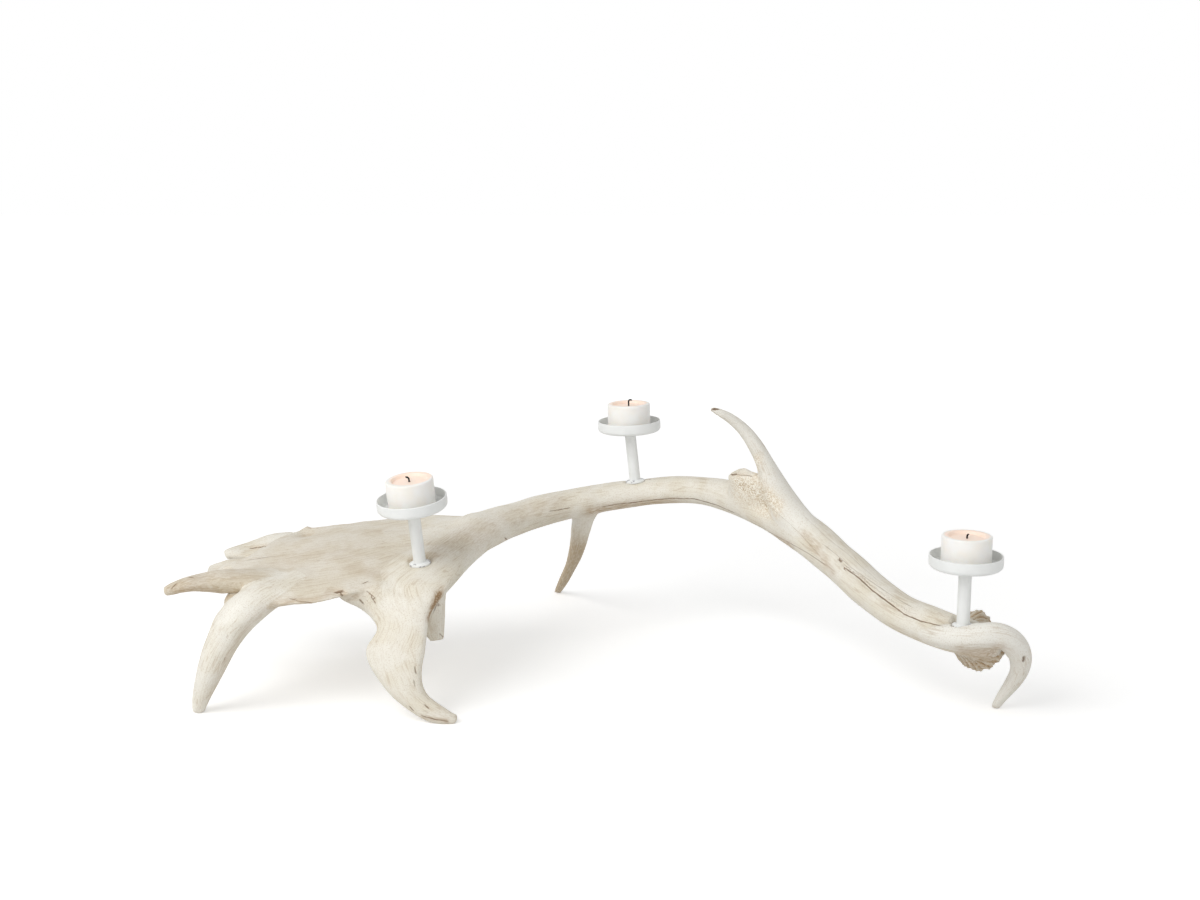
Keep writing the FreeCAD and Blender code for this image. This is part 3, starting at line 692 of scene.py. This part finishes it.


# Height in millimetres, shares of stain with painted shade and of porous bone, and the offset of the
# nearest groove, painted shadow line included, in its widths and its mask
def lay_marks(antler, places, normals):
    tree = antler_tree(antler, places)
    height = np.zeros(len(places))
    stain_and_shade = np.zeros(len(places))
    porous = np.zeros(len(places))
    groove_and_shadow = {"side": np.full(len(places), FAR_ASIDE), "mask": np.zeros(len(places))}
    nearest = np.full(len(places), np.inf)
    for width, strength, pixels in GROOVES_AND_SHADOW_LINE.values():
        line, facings = laid_line(tree, pixels)
        if len(line) > 1:
            aside, distance, mask = line_offset(places, normals, line, facings)
            closer = distance < nearest
            nearest[closer] = distance[closer]
            groove_and_shadow["side"][closer] = (aside / (width * MM))[closer]
            groove_and_shadow["mask"][closer] = strength * mask[closer]
    for width, depth, brown, holes, pixels in STAINS_AND_SHADE.values():
        line, facings = laid_line(tree, pixels)
        if len(line):
            distance, turned = line_distance(places, normals, line, facings)
            weight = np.exp(-(distance / (width * MM)) ** 2) * turned
            height -= depth * weight
            # Stains, and painted shade where a mark is shade
            stain_and_shade = np.maximum(stain_and_shade, brown * weight)
            porous = np.maximum(porous, holes * weight)
    return height, stain_and_shade, porous, groove_and_shadow


# The burr: ribs running to a rim of pearls, and a rough pale end where the antler was shed
def carve_burr(places, field):
    burr = limb_mask(field, "burr")
    rim = burr * soft_step(field["share"], *RIM_SHARE)
    around = np.arctan2(field["fibre"][:, 1], field["fibre"][:, 0])
    ribs = np.cos(around * RIB_COUNT + RIB_SWAY * swell(places, RIB_SWAY_SIZE))
    beads = pearls(places, PEARL_SIZE)
    radius = np.hypot(field["fibre"][:, 0], field["fibre"][:, 1])
    end = burr * soft_step(field["share"], *SHED_SHARE) * soft_step(radius, *SHED_RADIUS)
    lumps = SHED_LUMP_HEIGHT * swell(places, SHED_LUMP_SIZE)
    lumps += SHED_GRIT_HEIGHT * swell(places, SHED_GRIT_SIZE)
    height = burr * (1.0 - rim) * RIB_HEIGHT * ribs + (rim - end) * (PEARL_HEIGHT * beads - PEARL_SINK)
    height += end * lumps
    pale = PEARL_PALENESS * rim * soft_step(beads, *PEARL_RANGE)
    stain_and_shade = burr * np.clip(RIB_STAIN - RIB_STAIN * ribs - pale, 0.0, 1.0)
    shed_stain = SHED_STAIN - SHED_STAIN_SWAY * swell(places, SHED_STAIN_SIZE)
    stain_and_shade = stain_and_shade * (1.0 - end) + end * shed_stain
    return height, stain_and_shade, end


def carve_bone(antler):
    places = vertex_places(antler)
    normals = vertex_normals(antler)
    field = limb_field(places)
    fibre = field["fibre"] + field["limb"][:, None] * LIMB_SHIFT
    coarse = limb_values(field, COARSE_COLUMN)
    stretched = fibre * GRAIN_STRETCH
    flutes = swell(stretched, FLUTE_SIZE)
    grain = swell(stretched, GRAIN_SIZE)
    swells = swell(places, SWELL_SIZE)
    height = coarse * (FLUTE_HEIGHT * flutes + GRAIN_HEIGHT * grain + SWELL_HEIGHT * swells)
    stain_and_shade = soft_step(-flutes - 0.5 * grain, *GRAIN_STAIN_RANGE) * GRAIN_STAIN * coarse
    # Painted shade with some grime: the deeper a hollow, the more tan
    hollow_shade_and_grime = soft_step(hollow_depth(antler, places, normals), *HOLLOW_DEPTH_RANGE)
    mark_height, mark_stain_and_shade, porous, groove_and_shadow = lay_marks(antler, places, normals)
    burr_height, burr_stain, burr_end = carve_burr(places, field)
    porous = np.maximum(porous, SHED_POROUS * burr_end)
    height += mark_height + burr_height
    stain_and_shade = np.maximum(np.maximum(stain_and_shade, mark_stain_and_shade), burr_stain)
    edge = limb_mask(field, "palm") * soft_step(field["edge"], *PALM_RIM)
    broken = swell(places, BREAK_SIZE) + 0.5 * swell(places, BREAK_FINE_SIZE)
    moved = places + normals * (height * MM)[:, None]
    moved += field["outward"] * (edge * broken * BREAK_REACH * MM)[:, None]
    stain_and_shade = np.maximum(stain_and_shade, edge * soft_step(-broken, *BREAK_STAIN_RANGE) * BREAK_STAIN)
    # Painted shade: the bone turns tan where it faces down
    underside_shade = soft_step(-normals[:, 2], *UNDER_SHADE_RANGE)
    # Partly painted light and shade: the rear tine darker as if in shade, the tines, left leg and spur
    # paler where the lamps leave them dim
    tinge_and_painted_light = limb_values(field, TINGE_AND_PAINTED_LIGHT_COLUMN) * soft_step(field["share"], *TINGE_SHARE)
    tan_and_shade = np.maximum(tinge_and_painted_light, 0.0) + UNDER_SHADE_TAN * underside_shade + HOLLOW_SHADE_AND_GRIME_TAN * hollow_shade_and_grime
    tan_and_shade *= np.clip(1.0 - POROUS_LOSS * porous, 0.0, 1.0)
    moved[:, 2] = np.maximum(moved[:, 2], 0.0)
    move_vertices(antler, clear_seats(moved))
    paint_vector(antler, "fibre", fibre)
    paint_value(antler, "stain_and_shade", stain_and_shade)
    paint_value(antler, "porous", porous)
    paint_value(antler, "groove_side", groove_and_shadow["side"])
    paint_value(antler, "groove_and_shadow_mask", groove_and_shadow["mask"])
    paint_value(antler, "tan_and_shade", np.clip(tan_and_shade, 0.0, 1.0))
    paint_value(antler, "bleach_and_painted_light", np.clip(-tinge_and_painted_light, 0.0, 1.0))


def add_fillers(antler):
    for middle, radii, tilt in FILLERS.values():
        bpy.ops.object.select_all(action="DESELECT")
        turn = (0, math.radians(tilt), 0)
        bpy.ops.mesh.primitive_ico_sphere_add(
            subdivisions=FILLER_SUBDIVISIONS, location=Vector(middle) * MM, rotation=turn)
        bpy.context.object.scale = Vector(radii) * MM
        antler.select_set(True)
        bpy.context.view_layer.objects.active = antler
        bpy.ops.object.join()


def make_antler(bone):
    antler = merged_copy("antler", "antler_carved")
    add_fillers(antler)
    apply_modifier(antler, "REMESH", mode="VOXEL", voxel_size=BONE_VOXEL)
    round_joins(antler)
    carve_bone(antler)
    select_only(antler)
    bpy.ops.object.shade_smooth()
    give_material(antler, bone)
    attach(antler, "stand")
    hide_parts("antler")


# Nodes of a material
def add_node(tree, kind, **values):
    made = tree.nodes.new("ShaderNode" + kind)
    for name, value in values.items():
        made.inputs[name].default_value = value
    return made


def feed(tree, value, socket):
    if isinstance(value, bpy.types.NodeSocket):
        tree.links.new(value, socket)
    else:
        socket.default_value = value


MIX_SHARE = 0
MIX_FIRST = 6
MIX_SECOND = 7
MIX_RESULT = 2


def mix_colours(tree, share, first, second):
    mix = tree.nodes.new("ShaderNodeMix")
    mix.data_type = "RGBA"
    feed(tree, share, mix.inputs[MIX_SHARE])
    feed(tree, first, mix.inputs[MIX_FIRST])
    feed(tree, second, mix.inputs[MIX_SECOND])
    return mix.outputs[MIX_RESULT]


def ramp(tree, value, low, high, start=0.0, end=1.0):
    made = tree.nodes.new("ShaderNodeMapRange")
    made.interpolation_type = "SMOOTHSTEP"
    feed(tree, value, made.inputs["Value"])
    for name, limit in (("From Min", low), ("From Max", high), ("To Min", start), ("To Max", end)):
        made.inputs[name].default_value = limit
    return made.outputs["Result"]


def calculate(tree, operation, first, second):
    made = tree.nodes.new("ShaderNodeMath")
    made.operation = operation
    feed(tree, first, made.inputs[0])
    feed(tree, second, made.inputs[1])
    return made.outputs["Value"]


def attribute(tree, name, output):
    made = tree.nodes.new("ShaderNodeAttribute")
    made.attribute_name = name
    return made.outputs[output]


def scaled(tree, vector, scale):
    made = tree.nodes.new("ShaderNodeMapping")
    feed(tree, vector, made.inputs["Vector"])
    made.inputs["Scale"].default_value = scale
    return made.outputs["Vector"]


def vector_length(tree, vector):
    made = tree.nodes.new("ShaderNodeVectorMath")
    made.operation = "LENGTH"
    tree.links.new(vector, made.inputs[0])
    return made.outputs["Value"]


def noise_value(tree, vector, scale, detail, roughness=0.5):
    made = add_node(tree, "TexNoise", Scale=scale, Detail=detail, Roughness=roughness)
    feed(tree, vector, made.inputs["Vector"])
    return made.outputs["Fac"]


def object_place(tree):
    return tree.nodes.new("ShaderNodeTexCoord").outputs["Object"]


def new_material(name, **values):
    material = bpy.data.materials.new(name)
    material.use_nodes = True
    shader = material.node_tree.nodes["Principled BSDF"]
    for socket, value in values.items():
        shader.inputs[socket.replace("_", " ")].default_value = value
    return material, material.node_tree, shader


def bump(tree, shader, height, strength, distance):
    made = add_node(tree, "Bump", Strength=strength, Distance=distance)
    feed(tree, height, made.inputs["Height"])
    tree.links.new(made.outputs["Normal"], shader.inputs["Normal"])


# A shared soft mottle on the piece's own coordinates, with a broad and a fine mask
def mottle_group():
    group = bpy.data.node_groups.new("soft_mottle", "ShaderNodeTree")
    for name in ("Broad", "Fine"):
        group.interface.new_socket(f"{name} scale", in_out="INPUT", socket_type="NodeSocketFloat")
        group.interface.new_socket(name, in_out="OUTPUT", socket_type="NodeSocketFloat")
    inlet = group.nodes.new("NodeGroupInput")
    outlet = group.nodes.new("NodeGroupOutput")
    place = object_place(group)
    for name, detail in (("Broad", 2.0), ("Fine", 1.0)):
        made = add_node(group, "TexNoise", Detail=detail)
        group.links.new(place, made.inputs["Vector"])
        group.links.new(inlet.outputs[f"{name} scale"], made.inputs["Scale"])
        group.links.new(made.outputs["Fac"], outlet.inputs[name])
    return group


def mottle(tree, group, broad, fine):
    made = tree.nodes.new("ShaderNodeGroup")
    made.node_tree = group
    made.inputs["Broad scale"].default_value = broad
    made.inputs["Fine scale"].default_value = fine
    return made.outputs["Broad"], made.outputs["Fine"]


# Whitened bone: stretches and scales of its grain, and the ranges and shares in which each tint shows
FINE_STRETCH = (1.0, 1.0, 0.16)
FINE_SCALE = 900
BROAD_STRETCH = (1.0, 1.0, 0.22)
BROAD_SCALE = 110
BLOTCH_SCALES = (42, 1300)
CREAM_RANGE = (0.38, 0.66)
BROAD_TINT = (0.5, 0.8, 0.0, 0.3)
FINE_TINT = (0.5, 0.7, 0.0, 0.3)
TAN_STREAKS = (0.34, 0.64, 0.6, 1.15)
STAIN_STREAKS = (0.36, 0.62, 0.5, 1.3)
BROWN_DEPTHS = (0.7, 1.3, 0.0, 0.8)
SPECK_TINT = (0.54, 0.72, 0.0, 0.4)
BONE_ROUGHNESS = (0.3, 0.7, 0.5, 0.68)
BONE_BUMP = (0.4, 0.6 * MM)
HAIR_STRETCH = (1.0, 1.0, 0.05)
HAIR_SCALE = 330
HAIR_WIDTH = (0.05, 0.0)
HAIR_PATCHES = (0.42, 0.62, 0.04, 0.34)
PORE_STRETCH = (1.0, 1.0, 0.25)
PORE_SCALE = 480
PORE_RANGE = (0.77, 0.81, 0.0, 0.5)
WORM_SCALE = 430
WORM_WIDTH = (0.07, 0.01)
WORM_SHARE = 0.75
WALL_AND_LIGHT_SHARE = 0.9
GROOVE_RAGS = (0.3, 0.7, 0.35, -0.35)
GROOVE_EDGE = (1.1, 0.5)
GROOVE_CORE = (0.6, 0.1, 0.0, 0.75)
GROOVE_SHARE = 0.85


# Fine long grain, tan with painted shade in hollows and undersides, brown grooves and stains with painted
# shade, a porous web with painted light on its walls
def bone_material(group):
    material, tree, shader = new_material("whitened_bone", Specular_IOR_Level=0.3)
    fibre = attribute(tree, "fibre", "Vector")
    fine = noise_value(tree, scaled(tree, fibre, FINE_STRETCH), FINE_SCALE, detail=3.0, roughness=0.7)
    broad = noise_value(tree, scaled(tree, fibre, BROAD_STRETCH), BROAD_SCALE, detail=3.0, roughness=0.6)
    blotch, specks = mottle(tree, group, *BLOTCH_SCALES)
    stain_and_shade = attribute(tree, "stain_and_shade", "Fac")
    colour = mix_colours(tree, ramp(tree, blotch, *CREAM_RANGE), IVORY, CREAM)
    colour = mix_colours(tree, ramp(tree, broad, *BROAD_TINT), colour, GREIGE)
    colour = mix_colours(tree, ramp(tree, fine, *FINE_TINT), colour, GREIGE)
    # Painted light with the bone's own pale tone: bleached limbs lightened
    colour = mix_colours(tree, attribute(tree, "bleach_and_painted_light", "Fac"), colour, BLEACHED_AND_PAINTED_LIGHT)
    # The bone's own tan mixed with painted shade in hollows and underneath
    tan_and_shade_streaks = calculate(tree, "MULTIPLY", attribute(tree, "tan_and_shade", "Fac"), ramp(tree, fine, *TAN_STREAKS))
    colour = mix_colours(tree, tan_and_shade_streaks, colour, TAN)
    streaked = calculate(tree, "MULTIPLY", stain_and_shade, ramp(tree, fine, *STAIN_STREAKS))
    colour = mix_colours(tree, streaked, colour, UMBER)
    colour = mix_colours(tree, ramp(tree, streaked, *BROWN_DEPTHS), colour, BROWN)
    colour, hairs = hairline_colour(tree, fibre, blotch, colour)
    colour, holes = porous_colour(tree, colour)
    colour, groove_and_shadow = groove_and_shadow_colour(tree, fine, colour)
    colour = mix_colours(tree, ramp(tree, specks, *SPECK_TINT), colour, TAN)
    feed(tree, colour, shader.inputs["Base Color"])
    feed(tree, ramp(tree, broad, *BONE_ROUGHNESS), shader.inputs["Roughness"])
    relief = calculate(tree, "SUBTRACT", fine, calculate(tree, "ADD", holes, groove_and_shadow))
    relief = calculate(tree, "SUBTRACT", relief, hairs)
    bump(tree, shader, relief, *BONE_BUMP)
    return material


# Fine dark lines along the grain, in patches, and short pores
def hairline_colour(tree, fibre, blotch, colour):
    waves = noise_value(tree, scaled(tree, fibre, HAIR_STRETCH), HAIR_SCALE, detail=1.0)
    apart = calculate(tree, "ABSOLUTE", calculate(tree, "SUBTRACT", waves, 0.5), 0.0)
    lines = calculate(tree, "MULTIPLY", ramp(tree, apart, *HAIR_WIDTH), ramp(tree, blotch, *HAIR_PATCHES))
    dots = noise_value(tree, scaled(tree, fibre, PORE_STRETCH), PORE_SCALE, detail=1.0)
    pores = ramp(tree, dots, *PORE_RANGE)
    colour = mix_colours(tree, lines, colour, UMBER)
    return mix_colours(tree, pores, colour, BROWN), calculate(tree, "MAXIMUM", lines, pores)


# The porous web: ochre worm holes between pale walls, made paler as painted light where the web lies in
# shade
def porous_colour(tree, colour):
    porous = attribute(tree, "porous", "Fac")
    worms = noise_value(tree, object_place(tree), WORM_SCALE, detail=2.0, roughness=0.6)
    apart = calculate(tree, "ABSOLUTE", calculate(tree, "SUBTRACT", worms, 0.5), 0.0)
    holes = calculate(tree, "MULTIPLY", porous, ramp(tree, apart, *WORM_WIDTH))
    # Painted light: the pale walls lighten the shaded web
    colour = mix_colours(tree, calculate(tree, "MULTIPLY", porous, WALL_AND_LIGHT_SHARE), colour, PALE_WALL_AND_LIGHT)
    return mix_colours(tree, calculate(tree, "MULTIPLY", holes, WORM_SHARE), colour, OCHRE), holes


# Brown grooves with dark middles, ragged along their edges; the painted shadow line under the right flange
# is drawn the same way
def groove_and_shadow_colour(tree, fine, colour):
    edge = calculate(tree, "ABSOLUTE", attribute(tree, "groove_side", "Fac"), 0.0)
    ragged = calculate(tree, "ADD", edge, ramp(tree, fine, *GROOVE_RAGS))
    mask = attribute(tree, "groove_and_shadow_mask", "Fac")
    groove_and_shadow = calculate(tree, "MULTIPLY", ramp(tree, ragged, *GROOVE_EDGE), mask)
    core = calculate(tree, "MULTIPLY", ramp(tree, ragged, *GROOVE_CORE), mask)
    colour = mix_colours(tree, calculate(tree, "MULTIPLY", groove_and_shadow, GROOVE_SHARE), colour, BROWN)
    return mix_colours(tree, core, colour, DARK_BROWN), groove_and_shadow


# Plain finishes: powder coat with a fine orange peel, the same coat with grey chips, burnt wick, and the
# metals of the hidden fastenings. Each has its name, settings, two colours and the scales of its mottle,
# then the mask and range of the colours, of the roughness and of the bump
BROAD = 0
FINE = 1
MOTTLE_RANGE = (0.35, 0.7)
GLOSS_RANGE = (0.3, 0.7)
PLAIN_FINISHES = {
    "coat": (
        "white_powder_coat", {"Specular_IOR_Level": 0.45}, (COAT_WHITE, COAT_SHADE), (60, 1500),
        (BROAD, *MOTTLE_RANGE), (FINE, *GLOSS_RANGE, 0.36, 0.46), (FINE, 0.06, 0.2 * MM)),
    "chipped": (
        "chipped_powder_coat", {"Specular_IOR_Level": 0.45}, (COAT_WHITE, CHIP_GREY), (210, 1500),
        (BROAD, 0.55, 0.6, 0.0, 0.8), (FINE, *GLOSS_RANGE, 0.36, 0.46), (BROAD, 0.1, 0.2 * MM)),
    "wick": (
        "charred_wick", {"Specular_IOR_Level": 0.2}, (CHAR, ASH), (500, 2600),
        (FINE, 0.5, 0.72), (BROAD, *GLOSS_RANGE, 0.75, 0.95), (FINE, 0.5, 0.2 * MM)),
    "zinc": (
        "zinc_plate", {"Metallic": 1.0}, (ZINC, ZINC_SHADE), (120, 1800),
        (BROAD, *MOTTLE_RANGE), (FINE, *GLOSS_RANGE, 0.35, 0.5), (FINE, 0.05, 0.1 * MM)),
    "tin": (
        "tinned_sheet", {"Metallic": 1.0}, (TIN_GREY, TIN_SHADE), (120, 1800),
        (BROAD, *MOTTLE_RANGE), (FINE, *GLOSS_RANGE, 0.25, 0.4), (FINE, 0.05, 0.1 * MM)),
}


def plain_material(group, name, settings, colours, scales, tint, gloss, relief):
    material, tree, shader = new_material(name, **settings)
    masks = mottle(tree, group, *scales)
    share = ramp(tree, masks[tint[0]], *tint[1:])
    feed(tree, mix_colours(tree, share, *colours), shader.inputs["Base Color"])
    feed(tree, ramp(tree, masks[gloss[0]], *gloss[1:]), shader.inputs["Roughness"])
    bump(tree, shader, masks[relief[0]], *relief[1:])
    return material


# Candle wax: milky outside, with the pool inside the ring painted as a warm glow, a peach tint and a faint
# emission
WAX_SCALES = (70, 500)
WAX_SCATTER = (1.0, 0.8, 0.65)
WAX_SCATTER_REACH = 5 * MM
WAX_ROUGHNESS = (0.38, 0.5)
WAX_BUMP = (0.05, 0.3 * MM)
POOL_EDGE = (18.2 * MM, 15.2 * MM)


def wax_material(group, side):
    material, tree, shader = new_material(
        f"{side}_candle_wax", Subsurface_Weight=0.2, Subsurface_Scale=WAX_SCATTER_REACH,
        Subsurface_Radius=WAX_SCATTER, Specular_IOR_Level=0.4, Emission_Strength=1.0)
    broad, fine = mottle(tree, group, *WAX_SCALES)
    centred = add_node(tree, "Mapping", Location=-box_middle(f"{side}_candle_wax"))
    tree.links.new(object_place(tree), centred.inputs["Vector"])
    radius = vector_length(tree, scaled(tree, centred.outputs["Vector"], (1, 1, 0)))
    pool = ramp(tree, radius, *POOL_EDGE)
    colour = mix_colours(tree, ramp(tree, broad, *MOTTLE_RANGE), WAX_WHITE, WAX_WARM)
    # Painted glow: the pool tinted peach and made to emit warm light
    feed(tree, mix_colours(tree, pool, colour, PAINTED_GLOW_TINT), shader.inputs["Base Color"])
    feed(tree, ramp(tree, fine, *GLOSS_RANGE, *WAX_ROUGHNESS), shader.inputs["Roughness"])
    feed(tree, mix_colours(tree, pool, UNLIT, PAINTED_POOL_GLOW), shader.inputs["Emission Color"])
    bump(tree, shader, fine, *WAX_BUMP)
    return material


# Holders and candles: the CAD pieces run smooth, each with its finish. Degrees that each dish is turned on
# its stem, and each wick about its candle
DISH_TURN = {"left": 0.0, "middle": 4.2, "right": 0.0}
WICK_SPIN = {"left": 0.0, "middle": 180.0, "right": 0.0}
POOL_DEPTH = 2.4 * MM
WICK_THINNING = 0.22 * MM
RIGHT_WICK_SHARE = 0.6
SMOOTH_ANGLE = math.radians(32)


def smooth_piece(node_name, body, material):
    piece = merged_copy(node_name, f"{node_name}_finished")
    select_only(piece)
    bpy.ops.object.shade_smooth_by_angle(angle=SMOOTH_ANGLE)
    give_material(piece, material)
    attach(piece, body)
    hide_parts(node_name)
    return piece


def dress_node(node_name, material):
    give_material(frame["nodes"][node_name], material)


# The burnt wick: thinner than new, and the right one burnt shorter
def burn_wick(wick, side):
    apply_modifier(wick, "DISPLACE", strength=-WICK_THINNING, mid_level=0.0)
    if side == "right":
        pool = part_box(f"{side}_candle_wax")[1][2] - POOL_DEPTH
        places = vertex_places(wick)
        above = np.maximum(places[:, 2] - pool, 0.0)
        places[:, 2] -= above * (1.0 - RIGHT_WICK_SHARE)
        move_vertices(wick, places)


def turn_piece(piece, middle, degrees, axis):
    turn = Matrix.Rotation(math.radians(degrees), 4, axis)
    piece.data.transform(Matrix.Translation(middle) @ turn @ Matrix.Translation(-middle))
    piece.data.update()


def box_middle(node_name):
    low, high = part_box(node_name)
    return (low + high) / 2


def lift_axis(side):
    axes = {joint["name"]: Vector(joint["axis"]) for joint in frame["joints"]}
    return axes[f"{side}_candle_lift"]


# The dish sits on its stem as level as in the photograph, with all that stands in it
def make_holder(side, finishes, group):
    candle = f"{side}_candle"
    smooth_piece(f"{side}_foot_flange", "stand", finishes["chipped"])
    smooth_piece(f"{side}_stem", "stand", finishes["coat"])
    dress_node(f"{side}_hanger_bolt", finishes["zinc"])
    dish = smooth_piece(f"{side}_dish", "stand", finishes["coat"])
    screw = smooth_piece(f"{side}_dish_screw", "stand", finishes["zinc"])
    wax = smooth_piece(f"{side}_candle_wax", candle, wax_material(group, side))
    wick = smooth_piece(f"{side}_wick", candle, finishes["wick"])
    sustainer = smooth_piece(f"{side}_wick_sustainer", candle, finishes["tin"])
    burn_wick(wick, side)
    turn_piece(wick, box_middle(f"{side}_candle_wax"), WICK_SPIN[side], lift_axis(side))
    for piece in (dish, screw, wax, wick, sustainer):
        turn_piece(piece, box_middle(f"{side}_dish"), DISH_TURN[side], "Y")


# The photograph's camera, the floor and the light
def make_camera():
    camera = bpy.data.objects.new("photo_camera", bpy.data.cameras.new("photo_camera"))
    camera.data.sensor_fit = "HORIZONTAL"
    camera.data.sensor_width = SENSOR_WIDTH
    camera.data.lens = LENS
    camera.location = CAMERA_PLACE
    camera.rotation_euler = (math.pi / 2 - CAMERA_PITCH, 0, 0)
    bpy.context.scene.collection.objects.link(camera)
    bpy.context.scene.camera = camera


FLOOR_SIZE = 14.0
NEAR_GLOW = 0.34
FAR_GLOW = 0.56
NEAR_RADIUS = 0.3
FAR_RADIUS = 1.4
SKY_LEVEL = 0.52
KEY_POWER = 26.0
KEY_SIZE = 1.5
KEY_PLACE = Vector((-1.25, -1.15, 1.55))
FILL_POWER = 5.5
FILL_SIZE = 1.6
FILL_PLACE = Vector((0.8, -1.9, 0.8))
LAMP_AIM = Vector((0, 0, 0.1))


# 1 for what the camera sees, straight or in gloss and glass, and 0 for light
def seen_share(tree):
    path = tree.nodes.new("ShaderNodeLightPath").outputs
    straight = calculate(tree, "MAXIMUM", path["Is Camera Ray"], path["Is Glossy Ray"])
    return calculate(tree, "MAXIMUM", straight, path["Is Transmission Ray"])


def make_floor():
    bpy.ops.object.select_all(action="DESELECT")
    bpy.ops.mesh.primitive_plane_add(size=FLOOR_SIZE, location=(0, 0, 0))
    floor = bpy.context.object
    floor.name = "studio_floor"
    material, tree, shader = new_material("pale_floor", Base_Color=FLOOR_WHITE, Roughness=0.9,
                                          Specular_IOR_Level=0.0, Emission_Color=WHITE)
    glow = ramp(tree, vector_length(tree, object_place(tree)), NEAR_RADIUS, FAR_RADIUS, NEAR_GLOW, FAR_GLOW)
    feed(tree, calculate(tree, "MULTIPLY", seen_share(tree), glow), shader.inputs["Emission Strength"])
    give_material(floor, material)


def make_world():
    world = bpy.data.worlds.new("studio_white")
    bpy.context.scene.world = world
    world.use_nodes = True
    tree = world.node_tree
    light = tree.nodes["Background"]
    light.inputs["Color"].default_value = WHITE
    light.inputs["Strength"].default_value = SKY_LEVEL
    seen = add_node(tree, "Background", Color=WHITE, Strength=1.0)
    choice = tree.nodes.new("ShaderNodeMixShader")
    tree.links.new(seen_share(tree), choice.inputs[0])
    tree.links.new(light.outputs[0], choice.inputs[1])
    tree.links.new(seen.outputs[0], choice.inputs[2])
    tree.links.new(choice.outputs[0], tree.nodes["World Output"].inputs["Surface"])


def make_lamp(name, place, power, size):
    lamp = bpy.data.objects.new(name, bpy.data.lights.new(name, "AREA"))
    lamp.data.energy = power
    lamp.data.size = size
    lamp.location = place
    lamp.rotation_euler = (LAMP_AIM - place).to_track_quat("-Z", "Y").to_euler()
    bpy.context.scene.collection.objects.link(lamp)


def build_scene():
    bpy.context.scene.view_settings.view_transform = "Standard"
    make_camera()
    group = mottle_group()
    make_antler(bone_material(group))
    finishes = {finish: plain_material(group, *values) for finish, values in PLAIN_FINISHES.items()}
    for side in SIDES:
        make_holder(side, finishes, group)
    make_floor()
    make_world()
    make_lamp("key_light", KEY_PLACE, KEY_POWER, KEY_SIZE)
    make_lamp("fill_light", FILL_PLACE, FILL_POWER, FILL_SIZE)


build_scene()
